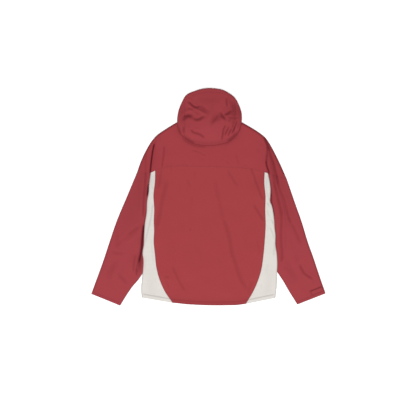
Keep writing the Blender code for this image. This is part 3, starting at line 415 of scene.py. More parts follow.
HOOD_CREASES = creased(
    # Upper left.
    (3.8, 3.4, 0.5, (-92, 818), (-85, 811), (-75, 803), (-68, 796), (-60, 791), (-48, 789), (-40, 793),
     (-32, 799)),
    (8, 2.8, 0.26, (-52, 802), (-38, 793), (-20, 779), (-6, 769), (4, 762)),
    (4.5, -2.2, 0, (-98, 776), (-78, 777), (-60, 777), (-42, 773), (-26, 766)),
    (2.2, 0.6, 0.14, (-88, 788), (-60, 772), (-38, 764)),
    (4, -1.6, 0, (-90, 826), (-82, 820), (-70, 815)),
    (2, 0.3, 0.1, (-75, 833), (-40, 845), (0, 849), (40, 847), (70, 838)),
    (7, 0, 0.14, (-110, 812), (-111, 776), (-113, 730)),
    # Middle left.
    (7, 4.8, 0.56, (-118, 735), (-108, 744), (-100, 751), (-90, 754.5), (-78, 754), (-69, 749), (-56, 740)),
    (5.6, 3.8, 0.42, (-74, 752), (-62, 744), (-50, 740), (-40, 742), (-30, 748), (-20, 752), (-10, 754)),
    (5, 0.8, 0.34, (-116, 731), (-106, 739), (-94, 743), (-78, 745)),
    (7, -2, 0, (-102, 772), (-84, 774), (-62, 768), (-48, 756)),
    (4, -2.4, 0, (-84, 800), (-64, 786), (-42, 774), (-22, 762), (-8, 752)),
    # Lower left.
    (3.6, 2.8, 0.38, (-82, 703), (-73, 697), (-65, 689), (-50, 684), (-35, 678), (-25, 670), (-16, 662)),
    (5, -1.6, 0, (-68, 706), (-50, 700), (-32, 692)),
    (5, -1.6, 0, (-90, 698), (-82, 680), (-68, 664)),
    (3.6, -1.6, 0, (-94, 724), (-94, 706), (-92, 690)),
    (3, -1.2, 0, (-115, 718), (-114, 704), (-110, 690)),
    (4.2, 1.8, 0.34, (-103, 722), (-104, 706), (-103, 690), (-100, 676)),
    (3.4, 0, 0.36, (-125, 724), (-120, 700), (-108, 678)),
    (6.4, 0, 0.46, (-114, 688), (-103, 673), (-88, 661), (-72, 652), (-42, 641)),
    (4, 0.8, 0.1, (-85, 722), (-82, 712), (-85, 704)),
    # Right.
    (5.6, 4.2, 0.48, (38, 778), (45, 765), (50, 755), (58, 746), (65, 740), (74, 736)),
    (6, 3, 0.48, (46, 748), (60, 758), (72, 763), (86, 774), (102, 786)),
    (4, 1.6, 0.26, (62, 753), (80, 749), (96, 747), (108, 749), (122, 752)),
    (3, -1.6, 0, (64, 756), (74, 756), (86, 758)),
    (5, 1.2, 0.24, (72, 747), (78, 737), (80, 727)),
    (17, 0.8, 0.3, (86, 838), (96, 790), (98, 760), (104, 704)),
    (3.6, 2, 0.28, (68, 834), (68, 818), (69, 800), (70, 784)),
    (3.4, -3, 0, (72, 838), (75, 820), (78, 802), (84, 786)),
    (2.8, 1.8, 0.26, (86, 824), (92, 804), (94, 786), (92, 768)),
    (2.8, 1.6, 0.24, (98, 814), (103, 796), (104, 778), (103, 760)),
    (2.6, -1.4, 0, (93, 812), (98.5, 794), (99, 776), (97.5, 760)),
    (2.6, 1.2, 0.2, (112, 800), (115, 782), (114, 764)),
    (3.6, 1.6, 0.2, (88, 756), (84, 742), (80, 728)),
    (3, 2.4, 0.38, (66, 722), (61, 711), (55, 700), (53, 685), (50, 664), (48, 652)),
    (2.4, 2.2, 0.36, (80, 716), (74, 705), (69, 695), (64, 684), (61, 672)),
    (2.4, 2, 0.32, (90, 708), (85, 698), (80, 689), (76, 680), (73, 670)),
    (3, 2.4, 0.42, (111, 742), (107, 728), (103, 716), (98, 704), (93, 692), (88, 680)),
    (2.6, 1.8, 0.26, (96, 742), (95, 728), (92, 714), (88, 702)),
    (2.8, 1.4, 0.2, (119, 734), (115, 718), (108, 702)),
    (2.4, -2, 0, (74, 712), (67, 700), (60, 686), (56, 672)),
    (2.2, -1.6, 0, (80, 702), (74, 690), (69, 676)),
    (2.4, -2, 0, (98, 718), (92, 704), (87, 692), (81, 678)),
    (5.4, 0, 0.42, (120, 704), (109, 687), (97, 675.5), (84, 664.5), (70.5, 655.5), (55, 648.5)),
    # Middle.
    (10, 2.6, 0.16, (42, 780), (30, 762), (18, 744), (8, 724), (2, 706)),
    (5.6, 2.8, 0.3, (44, 774), (33, 758), (21, 742), (12, 729), (4, 716)),
    (9, 1.6, 0.2, (54, 770), (44, 752), (32, 740), (18, 726)),
    (8, -1.6, 0, (12, 806), (8, 776), (0, 750), (-6, 726)),
    (5, 0.8, 0.03, (38, 702), (36, 684), (37, 662)),
    (14, 0.6, 0.08, (-62, 816), (0, 818), (62, 816)),
    # Lower edge, where the cloth turns under, with painted shade along it.
    (9, 0, 0.14, (-106, 664), (-72, 651), (-38, 646), (2, 644), (42, 648), (74, 657), (108, 680)),
    (2.4, 0.6, 0.14, (-68, 658), (-36, 650), (2, 647), (40, 651), (64, 658)),
)
# Painted shade alone, in rows: where the cloth rolls away to the outline, and broad over shoulders and
# sleeves.
EDGE_ROLLS = (
    (6, 0, 0.5, SHOULDER["left"]),
    (6, 0, 0.75, SHOULDER["right"]),
    (5, 0, 0.22, SLEEVE_OUTER["left"]),
    (5, 0, 0.4, SLEEVE_OUTER["right"]),
) + creased(
    (13, 0, 0.3, (234, 670), (243, 600), (253, 550), (264, 500), (272, 450)),
    (45, 0, 0.1, (-180, 740), (-210, 660), (-250, 560), (-280, 470), (-320, 340), (-370, 190)),
    (45, 0, 0.1, (180, 740), (225, 640), (270, 530), (290, 440), (320, 340), (360, 210)),
)
# Painted shade alone, in rows, round the hood's outline and broad over its two sides.
HOOD_ROLLS = (
    (5, 0, 0.32, HOOD_SIDE["left"] + HOOD_CROWN[1:4]),
    (6, 0, 0.42, HOOD_SIDE["right"] + HOOD_CROWN[-2:-5:-1]),
) + creased(
    (16, 0, 0.15, (-100, 840), (-108, 780), (-105, 740), (-100, 690)),
    (20, 0, 0.26, (108, 850), (120, 800), (122, 760), (114, 710)),
)
# Painted shade along the hem's edge and the groove of its stitches, on the red cloth and the side panels,
# and over the red hem band.
HEM_GROOVE = lifted(HEM_LINE, HEM_DEPTH)
HEM_ROWS = ((3, 0, 0.45, HEM_LINE), (2.4, 0.5, 0.2, HEM_GROOVE), (13, 0, 0.14, lifted(HEM_LINE, 10 * MM)))
PANEL_HEM_ROWS = ((2, 0, 0.16, HEM_LINE), (2.4, 0.5, 0.3, HEM_GROOVE))
# The same on a cuff: how far up it each row lies, then its half width, depth and shade.
CUFF_ROWS = ((0.0, 1.8, 0, 0.3), (CUFF_DEPTH, 2, 0.5, 0.12))
UP_THE_CUFF = -12           # a point of a sleeve's edge a little above the cuff
FRONT_CREASES = creased(
    (8, 0.8, 0.04, (-150, 500), (-130, 400), (-150, 280)),
    (7, 0.7, 0.03, (-60, 440), (-90, 330), (-80, 200)),
    (8, 0.8, 0.04, (164, 480), (150, 400), (120, 300)),
    (6, 0.7, 0.04, (70, 300), (90, 200), (126, 100)),
    (6, 0.7, 0.04, (-170, 160), (-150, 110), (-110, 60)),
    (6, 0.8, 0.05, (180, 640), (150, 590), (130, 560)),
    (6, 0.8, 0.05, (-190, 630), (-150, 600), (-140, 570)),
)
SLEEVE_UNDER_CREASES = creased(
    (8, 0.9, 0.05, (280, 400), (310, 330), (350, 270)),
    (7, 0.8, 0.05, (310, 220), (340, 180), (390, 150)),
    (8, 0.9, 0.05, (-270, 360), (-310, 320), (-360, 270)),
    (7, 0.8, 0.05, (-300, 200), (-340, 170), (-400, 140)),
)

# RED is the cloth's colour. The yoke's red and the sleeves' and hood's red are darker, cooler copies of it:
# painted shade.
RED = (0.273, 0.0368, 0.0418)
YOKE_SHADED_RED = (0.270, 0.0357, 0.0428)
SHADED_RED = (0.264, 0.0366, 0.0440)      # the sleeves and the hood; painted shade
# Colours of painted shade, which the cloth's colour goes towards down its creases, seams and turned edges.
RED_IN_SHADE = (0.035, 0.0, 0.0030)       # the red down a dark crease, painted shade
CREAM = (0.537, 0.510, 0.477)
CREAM_IN_SHADE = (0.054, 0.051, 0.048)
RED_THREAD = (0.220, 0.027, 0.032)
CREAM_THREAD = (0.430, 0.408, 0.378)
DARK = (0.030, 0.030, 0.033)            # the chain, and the enamel on the zip's metal
BARE_METAL = (0.32, 0.31, 0.30)
FLOOR = (0.92, 0.92, 0.92)

SLEEVE_ANGLE = 20           # degrees that a sleeve's weave leans from the body's
FLOOR_HALF = 25.0           # half the floor's width
SKY_POWER = 0.4
KEY_PLACE = (-0.15, -0.7, 3.4)
KEY_POWER = 2.6
KEY_SPREAD = 26             # degrees that the key fills of the sky
FILL_PLACE = (0.0, -2.2, 1.8)
FILL_POWER = 25.0
FILL_SIZE = 1.6
LENS = 85.0
SENSOR = 36.0
VIEW_WIDTH = 1.664
VIEW_CENTRE = (-0.00165, -0.04465)


# ---------------------------------------------------------------- curves and plan grids

def length_of(line):
    """Length of a line of points."""
    return np.linalg.norm(np.diff(line, axis=0), axis=1).sum()


def share(line):
    """How far along its line each point lies, from 0 to 1."""
    steps = np.linalg.norm(np.diff(line, axis=0), axis=1)
    travelled = np.concatenate(([0.0], np.cumsum(steps)))
    return travelled / travelled[-1]


def smooth(table, places):
    """Points on a smooth curve through the table, evenly spaced or at the given shares of it."""
    points = np.array(table, float)
    knots = share(points)
    slopes = np.gradient(points, knots, axis=0)
    at = np.linspace(0.0, 1.0, places + 1) if isinstance(places, int) else np.asarray(places)
    span = np.clip(np.searchsorted(knots, at, side="right") - 1, 0, len(knots) - 2)
    length = (knots[span + 1] - knots[span])[:, None]
    t = (at - knots[span])[:, None] / length
    start = (1 + 2 * t) * (1 - t) ** 2 * points[span] + t * (1 - t) ** 2 * length * slopes[span]
    end = t ** 2 * (3 - 2 * t) * points[span + 1] - t ** 2 * (1 - t) * length * slopes[span + 1]
    return start + end


def straight(start, end, places):
    """Points on a straight line, a number of steps or at the given shares of it."""
    t = np.linspace(0.0, 1.0, places + 1) if isinstance(places, int) else np.asarray(places)
    return (1 - t)[:, None] * np.array(start, float) + t[:, None] * np.array(end, float)


def joined(*lines):
    """One line from several that follow on from each other."""
    return np.concatenate([lines[0]] + [line[1:] for line in lines[1:]])


def graded(length, step, marks=()):
    """Shares of a length, a step apart but closer beside both ends and beside each mark."""
    close = [EDGE_ROWS, length - EDGE_ROWS] + [mark + ROW_ROWS for mark in marks]
    close = np.unique(np.round(np.concatenate(close), 5))
    even = np.linspace(0.0, length, max(int(round(length / step)), 1) + 1)
    open_places = [place for place in even if np.abs(close - place).min() > step / 2]
    places = np.unique(np.concatenate((close, open_places)))
    return places[(places >= 0.0) & (places <= length)] / length


def heading(start, end):
    """Unit direction from one plan point to another."""
    way = np.array(end, float) - np.array(start, float)
    return way / np.linalg.norm(way)


def square_to(along):
    """Unit directions square to the given ones, on their right."""
    right = np.column_stack((along[:, 1], -along[:, 0]))
    return right / np.linalg.norm(right, axis=1)[:, None]


def outward(edge, inside):
    """Unit normals of an edge in plan, on the side away from the point inside."""
    normal = square_to(np.gradient(edge, axis=0))
    middle = len(edge) // 2
    facing = np.dot(normal[middle], edge[middle] - np.array(inside))
    return normal if facing > 0 else -normal


def eased(normals, edge, first=None, last=None, reach=EASE):
    """Normals of an edge that turn towards the given directions near its two ends."""
    length = length_of(edge)
    passed = share(edge)[:, None] * length
    for weight, way in ((1 - ramp(0.0, reach, passed), first), (ramp(length - reach, length, passed), last)):
        if way is not None:
            normals = normals * (1 - weight) + way * weight
    return normals / np.linalg.norm(normals, axis=1)[:, None]


def pointing_away(edge, other, inside):
    """Normals of one edge of a piece, which at its ends point straight away from the other edge."""
    return eased(outward(edge, inside), edge, heading(other[0], edge[0]), heading(other[-1], edge[-1]))


def patch(near, far, first, last):
    """Plan grid that fills four edges: rows go from near to far, columns from first to last."""
    u = share(near)[None, :, None]
    v = share(first)[:, None, None]
    rows = (1 - v) * near[None] + v * far[None]
    columns = (1 - u) * first[:, None] + u * last[:, None]
    corners = ((1 - u) * (1 - v) * near[0] + u * (1 - v) * near[-1]
               + (1 - u) * v * far[0] + u * v * far[-1])
    return rows + columns - corners


def spanned(first, last, columns):
    """Plan grid between two edges that its rows cross straight: each has a point for every row."""
    return patch(straight(first[0], last[0], columns), straight(first[-1], last[-1], columns), first, last)


def raised(plan, surface):
    """Grid of cloth: plan points with the height and shade that a surface gives them."""
    height, shade = surface(plan[..., 0], plan[..., 1])
    return np.dstack((plan, height, shade))


def turned(inset, normals, reach, high, low, dark=EDGE_SHADE):
    """Cloth that turns over an edge: rows follow the edge, columns go round from high to low."""
    angle = np.linspace(math.pi / 2, -math.pi / 2, TURN_STEPS + 1)
    plan = inset[:, None] + normals[:, None] * reach * np.cos(angle)[None, :, None]
    rise = (1 + np.sin(angle))[None] / 2
    height, shade = (below[:, None] + (above - below)[:, None] * rise for above, below in zip(high, low))
    # Painted shade on the cloth where it turns away at the edge.
    shade = np.maximum(shade, dark * np.cos(angle)[None])
    return np.dstack((plan, height, shade))


# ---------------------------------------------------------------- relief

def ramp(low, high, value):
    """Smooth step from 0 at low to 1 at high."""
    t = np.clip((value - low) / (high - low), 0.0, 1.0)
    return t * t * (3 - 2 * t)


def nearest(line, x, y):
    """Distance to a line of points, and how far along the line that is, from 0 to 1."""
    gap = np.full(x.shape, np.inf)
    passed = np.zeros(x.shape)
    travelled = 0.0
    for start, end in zip(line, line[1:]):
        way = end - start
        length = math.hypot(*way)
        t = np.clip(((x - start[0]) * way[0] + (y - start[1]) * way[1]) / length ** 2, 0.0, 1.0)
        here = np.hypot(x - start[0] - t * way[0], y - start[1] - t * way[1])
        closer = here < gap
        gap = np.where(closer, here, gap)
        passed = np.where(closer, travelled + t * length, passed)
        travelled += length
    return gap, passed / travelled


def creases(table, x, y):
    """Height and shade of soft troughs with low banks beside them, fading out at their ends."""
    height = np.zeros(x.shape)
    shade = np.zeros(x.shape)
    for half_width, depth, dark, points in table:
        line = smooth(points, CREASE_STEPS * len(points))
        width = half_width * MM
        reach = CREASE_REACH * width
        near = ((x > line[:, 0].min() - reach) & (x < line[:, 0].max() + reach)
                & (y > line[:, 1].min() - reach) & (y < line[:, 1].max() + reach))
        if not near.any():
            continue
        off, passed = nearest(line, x[near], y[near])
        off = off / width
        end = min(FADE * width / length_of(line), FADE_MOST)
        fade = ramp(0.0, end, passed) * (1 - ramp(1 - end, 1.0, passed))
        banks = np.exp(-(off - 2) ** 2) + np.exp(-(off + 2) ** 2)
        height[near] += fade * depth * (BANK * banks - np.exp(-off ** 2)) * MM
        shade[near] = np.maximum(shade[near], fade * dark * np.exp(-off ** 2))
    return height, shade


def seams(table, x, y):
    """Height and shade of the valley along each seam, and the puckers that its stitches pull beside it."""
    height = np.zeros(x.shape)
    shade = np.zeros(x.shape)
    for depth, dark, line in table:
        off, passed = nearest(line, x, y)
        along = passed * length_of(line)
        waves = np.sin(along / PUCKER_WAVE + 1.9 * np.sin(along / PUCKER_DRIFT))
        waves = waves * np.sin(along / PUCKER_GROUP + 0.7) + 0.6 * np.sin(along / PUCKER_SWELL + 2.0)
        strength = ramp(0.0, PUCKER_START, off) * np.exp(-off / PUCKER_REACH)
        valley = np.exp(-(off / SEAM_WIDTH) ** 2)
        height += (PUCKER * waves * strength - valley) * depth * MM
        shade = np.maximum(shade, dark * valley)
    return height, shade


def ripple(x, y):
    """Slight unevenness all over the cloth, from waves that run in different directions."""
    height = np.zeros(x.shape)
    for wave in range(RIPPLES):
        angle = RIPPLE_TURN * wave
        length = RIPPLE_LENGTH * RIPPLE_SHRINK ** wave
        bend = RIPPLE_BEND * np.sin((x - y) / RIPPLE_BENDS + wave)
        along = x * math.cos(angle) + y * math.sin(angle) + bend
        height += length * RIPPLE_SLOPE * np.sin(along / length + 1.3 * wave)
    return height


def over_sleeve(x, y, slope, ends):
    """How far the body's side is lifted by the sleeve below it, from 0 to 1."""
    foot, head = SLEEVE_LIES
    return ramp(*slope, np.abs(x)) * ramp(ends[0], foot, y) * (1 - ramp(head, ends[1], y))


def lower_base(x, y):
    """Middle of the body's lower cloth: on the surface, over the sleeves, and over the slider."""
    rise, fall = SLIDER_SLOPES
    over_slider = (1 - ramp(ZIP_FLAT, SLIDER_SPREAD, np.abs(x))) * ramp(*rise, y) * (1 - ramp(*fall, y))
    side = over_sleeve(x, y, LOWER_SLOPE, LOWER_OVER_SLEEVE)
    return LOWER + SLEEVE_LIFT * side + SLIDER_LIFT * over_slider


def body_base(x, y):
    """Middle of the body's upper cloth: over the lower cloth, the sleeves and the neck."""
    side = over_sleeve(x, y, UPPER_SLOPE, UPPER_OVER_SLEEVE)
    neck = 1 - ramp(NECK_TOP, 1.0, np.hypot(x, y - NECK_LIFT_Y) / NECK_SIZE)
    return UPPER + SLEEVE_LIFT * side + NECK_LIFT * neck


def sleeve_base(x, y):
    """Middle of a sleeve's upper cloth."""
    return np.full(x.shape, UPPER)


def flat_base(x, y):
    """Middle of cloth that lies on the surface."""
    return np.full(x.shape, LOWER)


def hood_base(x, y):
    """Middle of the hood's upper cloth: a low dome inside a rounded edge."""
    edge = HOOD_EDGE_NECK + (HOOD_EDGE_CROWN - HOOD_EDGE_NECK) * ramp(*HOOD_EDGE_SLOPE, y)
    return edge + HOOD_RISE * hood_inside(x, y) ** DOME_POWER


def hood_inside(x, y):
    """0 at the hood's edge and 1 in its middle."""
    across = np.abs(x - HOOD_CENTRE[0]) / HOOD_HALF[0]
    up = np.abs(y - HOOD_CENTRE[1]) / HOOD_HALF[1]
    spread = (across ** HOOD_SQUARENESS + up ** HOOD_SQUARENESS) ** (2 / HOOD_SQUARENESS)
    return 1 - np.clip(spread, 0.0, 1.0)


def upper_cloth(base, table, sewn=(), inside=None):
    """Surface for cloth on top: base height, creases, seams and ripples, kept above the cloth below."""
    def surface(x, y):
        height, shade = creases(table, x, y)
        if inside is not None:
            height = height * ramp(0.0, HOOD_CALM, inside(x, y))
        seam_height, seam_shade = seams(sewn, x, y)
        height = base(x, y) + height + seam_height + ripple(x, y)
        return np.maximum(height, LOWEST), np.maximum(shade, seam_shade)
    return surface


def lower_cloth(base, table=(), sewn=()):
    """Surface for cloth underneath, whose creases and seams go up from the surface that it lies on."""
    def surface(x, y):
        height, shade = creases(table, x, y)
        seam_height, seam_shade = seams(sewn, x, y)
        height = np.abs(height) - seam_height * UNDER_SEAM + UNDER_RIPPLE * np.abs(ripple(x, y))
        return base(x, y) + np.maximum(height, 0.0), np.maximum(shade, seam_shade)
    return surface


def laid_on(surface, gap):
    """Surface for cloth that lies on another, a gap away from it."""
    def above(x, y):
        height, shade = surface(x, y)
        return height + gap, shade
    return above


# ---------------------------------------------------------------- finishes

class Value:
    """A socket that gives a number, colour or vector. Arithmetic on numbers adds Math nodes."""

    def __init__(self, finish, socket):
        self.finish = finish
        self.socket = socket

    def __add__(self, other):
        return self.finish.math("ADD", self, other)

    def __sub__(self, other):
        return self.finish.math("SUBTRACT", self, other)

    def __rsub__(self, other):
        return self.finish.math("SUBTRACT", other, self)

    def __mul__(self, other):
        return self.finish.math("MULTIPLY", self, other)

    __radd__ = __add__
    __rmul__ = __mul__


class Finish:
    """One material: a Principled shader and the nodes that feed it."""

    def __init__(self, name, **constants):
        self.material = bpy.data.materials.new(name)
        self.material.use_nodes = True
        self.tree = self.material.node_tree
        self.feed(**constants)

    def feed(self, **sockets):
        """Set or link the shader's sockets, whose spaces are written as underscores."""
        for name, value in sockets.items():
            self.plug(self.tree.nodes["Principled BSDF"].inputs[name.replace("_", " ")], value)

    def plug(self, socket, value):
        """Set a socket to a constant or link a value to it."""
        if isinstance(value, Value):
            self.tree.links.new(value.socket, socket)
        else:
            socket.default_value = value

    def node(self, kind, settings=None, inputs=None, output=0, stops=()):
        """Add a node with its settings and a ramp's stops first, then its sockets, and give one output."""
        node = self.tree.nodes.new("ShaderNode" + kind)
        for name, value in (settings or {}).items():
            setattr(node, name, value)
        for number, position in enumerate(stops):
            node.color_ramp.elements[number].position = position
        for name, value in (inputs or {}).items():
            self.plug(node.inputs[name], value)
        return Value(self, node.outputs[output])

    def math(self, operation, first, second=0.0):
        """Number worked out from one or two others."""
        return self.node("Math", {"operation": operation}, {0: first, 1: second})

    def sine(self, value):
        return self.math("SINE", value)

    def mix(self, factor, first, second):
        """Colour between two colours."""
        return self.node("Mix", {"data_type": "RGBA"}, {0: factor, 6: first, 7: second}, 2)

    def place(self, degrees=0.0):
        """Place on the cloth in metres, turned to its weave."""
        whole = self.node("TexCoord", output="Object")
        return self.node("Mapping", inputs={"Vector": whole, "Rotation": (0.0, 0.0, math.radians(degrees))})

    def noise(self, place, scale, detail=2.0, roughness=0.5):
        """Even noise, about 0.5 on average."""
        sockets = {"Vector": place, "Scale": scale, "Detail": detail, "Roughness": roughness}
        return self.node("TexNoise", inputs=sockets)

    def attribute(self, name):
        return self.node("Attribute", {"attribute_name": name}, output="Fac")

    def bump(self, height, distance, strength=1.0, onto=None):
        sockets = {"Height": height, "Distance": distance, "Strength": strength}
        if onto is not None:
            sockets["Normal"] = onto
        return self.node("Bump", inputs=sockets)


def scaled(colour, factor):
    """A colour made lighter or darker."""
    return tuple(channel * factor for channel in colour) + (1.0,)


def woven(finish, place, pitch):
    """Height of a plain weave, from about -1 to 1."""
    parts = finish.node("SeparateXYZ", inputs={0: place})
    tree = parts.socket.node
    across, along = (Value(finish, tree.outputs[axis]) for axis in ("X", "Y"))
    turn = math.tau / pitch
    return finish.sine(across * turn) * finish.sine(along * turn)


def shell_cloth(name, colour, shaded_colour, degrees=0.0, contrast=1.0):
    """Tightly woven shell cloth, a little uneven in tone, with painted shade down its creases, seams and
    turned edges.
    """
    finish = Finish(name, Sheen_Weight=0.015, Sheen_Roughness=0.5, Specular_IOR_Level=0.03)
    place = finish.place(degrees)
    broad = finish.noise(place, 11.0, 3.0)
    fine = finish.noise(place, 260.0, 3.0, 0.65)
    weave = woven(finish, place, 1.1 * MM)
    dull = scaled(colour, 1 - 0.05 * contrast)
    bright = scaled(colour, 1 + 0.05 * contrast)
    even = finish.mix(broad * 0.7 + fine * 0.3, dull, bright)
    fibres = finish.mix(weave * 0.5 + 0.5, scaled(colour, 0.97), even)
    # Painted shade: the colour goes towards the shaded colour as far as the shade attribute says.
    darkened = finish.mix(finish.attribute("shade"), fibres, scaled(shaded_colour, 1.0))
    soft = finish.bump(finish.noise(place, 70.0, 3.0, 0.55), 1.2 * MM, 0.35)
    threads = finish.bump(weave * 0.5 + fine * 0.6, 0.12 * MM, 0.5, soft)
    finish.feed(Base_Color=darkened, Roughness=0.50 + 0.14 * fine, Normal=threads)
    return finish.material


def thread(name, colour):
    """Twisted sewing thread."""
    finish = Finish(name, Specular_IOR_Level=0.3)
    strands = finish.noise(finish.place(), 2200.0, 1.0)
    twisted = finish.mix(strands, scaled(colour, 0.8), scaled(colour, 1.15))
    finish.feed(Base_Color=twisted, Roughness=0.55 + 0.2 * strands)
    return finish.material


def tape_cloth(name, colour):
    """Ribbed woven tape, as on the sides of a zip."""
    finish = Finish(name, Specular_IOR_Level=0.3)
    place = finish.place()
    ribs = woven(finish, place, 0.9 * MM)
    ribbed = finish.mix(ribs * 0.5 + 0.5, scaled(colour, 0.75), scaled(colour, 1.1))
    rough = 0.7 + 0.15 * finish.noise(place, 300.0)
    finish.feed(Base_Color=ribbed, Roughness=rough, Normal=finish.bump(ribs, 0.15 * MM, 0.6))
    return finish.material


def moulded_plastic(name, colour):
    """Dark moulded plastic, slightly scuffed."""
    finish = Finish(name, Specular_IOR_Level=0.5)
    grain = finish.noise(finish.place(), 900.0, 3.0)
    scuffed = finish.mix(grain, scaled(colour, 0.8), scaled(colour, 1.5))
    finish.feed(Base_Color=scuffed, Roughness=0.35 + 0.25 * grain, Normal=finish.bump(grain, 0.05 * MM, 0.4))
    return finish.material


def enamelled_metal(name, colour):
    """Cast metal under dark enamel, worn a little brighter in spots."""
    finish = Finish(name, Metallic=0.85, Coat_Roughness=0.2)
    place = finish.place()
    wear = finish.noise(place, 420.0, 4.0, 0.6)
    spots = finish.node("ValToRGB", inputs={0: wear}, stops=(0.55, 0.72))
    worn = finish.mix(spots, scaled(colour, 1.6), scaled(BARE_METAL, 1.0))
    finish.feed(Base_Color=worn, Roughness=0.28 + 0.3 * wear, Coat_Weight=0.6 - 0.5 * wear,
                Normal=finish.bump(wear, 0.04 * MM, 0.5))
    return finish.material


def pale_floor():
    """Matt pale floor."""
    finish = Finish("pale_floor", Base_Color=scaled(FLOOR, 1.0), Specular_IOR_Level=0.0, Roughness=0.9)
    return finish.material


# ---------------------------------------------------------------- pieces

def add_piece(name, points, faces, finish, node):
    """Put a mesh in the scene in place of a CAD node, if it has one, centred on the part's origin."""
    mesh = bpy.data.meshes.new(name)
    mesh.from_pydata(np.asarray(points) - np.append(MIDDLE, 0.0), [], faces)
    mesh.validate()
    mesh.shade_smooth()
    piece = bpy.data.objects.new(name, mesh)
    piece.data.materials.append(finish)
    bpy.context.scene.collection.objects.link(piece)
    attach(piece, "jacket")
    if node is not None:
        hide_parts(node)
    return piece


def grid_faces(grids):
    """Corner numbers of every quad of several grids whose points follow on from each other."""
    faces = []
    first = 0
    for grid in grids:
        rows, columns = grid.shape[:2]
        number = first + np.arange(rows * columns).reshape(rows, columns)
        quads = (number[:-1, :-1], number[:-1, 1:], number[1:, 1:], number[1:, :-1])
        faces.append(np.stack(quads, axis=-1).reshape(-1, 4))
        first += rows * columns
    return np.concatenate(faces)


def draw_in(sheet, distance):
    """Move a sheet's open edges inward, square to themselves."""
    ways = {}
    for edge in sheet.edges:
        if not edge.is_boundary:
            continue
        start, end = edge.verts
        inward = edge.link_faces[0].normal.cross(end.co - start.co).normalized()
        if inward.dot(edge.link_faces[0].calc_center_median() - (start.co + end.co) / 2) < 0:
            inward.negate()
        for vert in edge.verts:
            ways.setdefault(vert, []).append(inward)
    for vert, (first, second) in ways.items():
        vert.co += (first + second) * distance / max(1 + first.dot(second), 0.5)


def add_cloth(node, grids, finish, thickness=SHELL):
    """One cut piece: its grids joined into a sheet, drawn in from its seams and given its thickness."""
    points = np.concatenate([grid.reshape(-1, 4) for grid in grids])
    piece = add_piece(node + "_cloth", points[:, :3], grid_faces(grids), finish, node)
    shade = piece.data.attributes.new("shade", "FLOAT", "POINT")
    shade.data.foreach_set("value", np.ascontiguousarray(points[:, 3], np.float32))
    sheet = bmesh.new()
    sheet.from_mesh(piece.data)
    bmesh.ops.remove_doubles(sheet, verts=sheet.verts[:], dist=0.01 * MM)
    bmesh.ops.recalc_face_normals(sheet, faces=sheet.faces[:])
    sheet.normal_update()
    draw_in(sheet, DRAW_IN)
    area = sum(face.calc_area() for face in sheet.faces)
    sheet.to_mesh(piece.data)
    sheet.free()
    wall = piece.modifiers.new("wall", "SOLIDIFY")
    wall.thickness = thickness
    wall.offset = 0.0


def line_on(grid, distance, upper=True):
    """Points on a grid of cloth at a distance from its first row, and their normals on the outside."""
    points = grid[..., :3]
    steps = np.linalg.norm(np.diff(points, axis=0), axis=2)
    passed = np.concatenate((np.zeros((1, points.shape[1])), np.cumsum(steps, axis=0)))
    column = np.arange(points.shape[1])
    after = np.clip((passed < distance).sum(axis=0), 1, len(points) - 1)
    inward = points[after, column] - points[after - 1, column]
    t = (distance - passed[after - 1, column]) / (passed[after, column] - passed[after - 1, column])
    line = points[after - 1, column] + t[:, None] * inward
    normal = np.cross(np.gradient(line, axis=0), inward)
    normal /= np.linalg.norm(normal, axis=1)[:, None]
    if (normal[len(normal) // 2, 2] > 0) != upper:
        normal = -normal
    return line + normal * SHELL / 2, normal


def add_stitches(name, runs, finish):
    """Rows of stitches: each run is a line of points on the cloth and its normals."""
    shapes = []
    for line, normal in runs:
        passed = share(line) * length_of(line)
        starts = np.arange(STITCH_GAP, passed[-1] - STITCH - STITCH_GAP, STITCH + STITCH_GAP)

        def at(places, values):
            return np.stack([np.interp(places, passed, values[:, axis]) for axis in range(3)], axis=1)

        start, end, up = at(starts, line), at(starts + STITCH, line), at(starts, normal)
        side = np.cross(up, end - start)
        side *= THREAD / np.linalg.norm(side, axis=1)[:, None]
        up = up * THREAD
        rings = [start + (end - start) * part + way
                 for part in STITCH_SHOULDERS for way in (side, up, -side, -up)]
        shapes.append(np.stack([start - up] + rings + [end - up], axis=1))
    points = np.concatenate(shapes)
    # A stitch has a point at its start, two rings of four points and a point at its end.
    caps = [(0, 1 + i, 1 + (i + 1) % 4) for i in range(4)] + [(9, 5 + (i + 1) % 4, 5 + i) for i in range(4)]
    sides = [(1 + i, 5 + i, 5 + (i + 1) % 4, 1 + (i + 1) % 4) for i in range(4)]
    faces = [[10 * one + corner for corner in face] for one in range(len(points)) for face in caps + sides]
    add_piece(name, points.reshape(-1, 3), faces, finish, None)


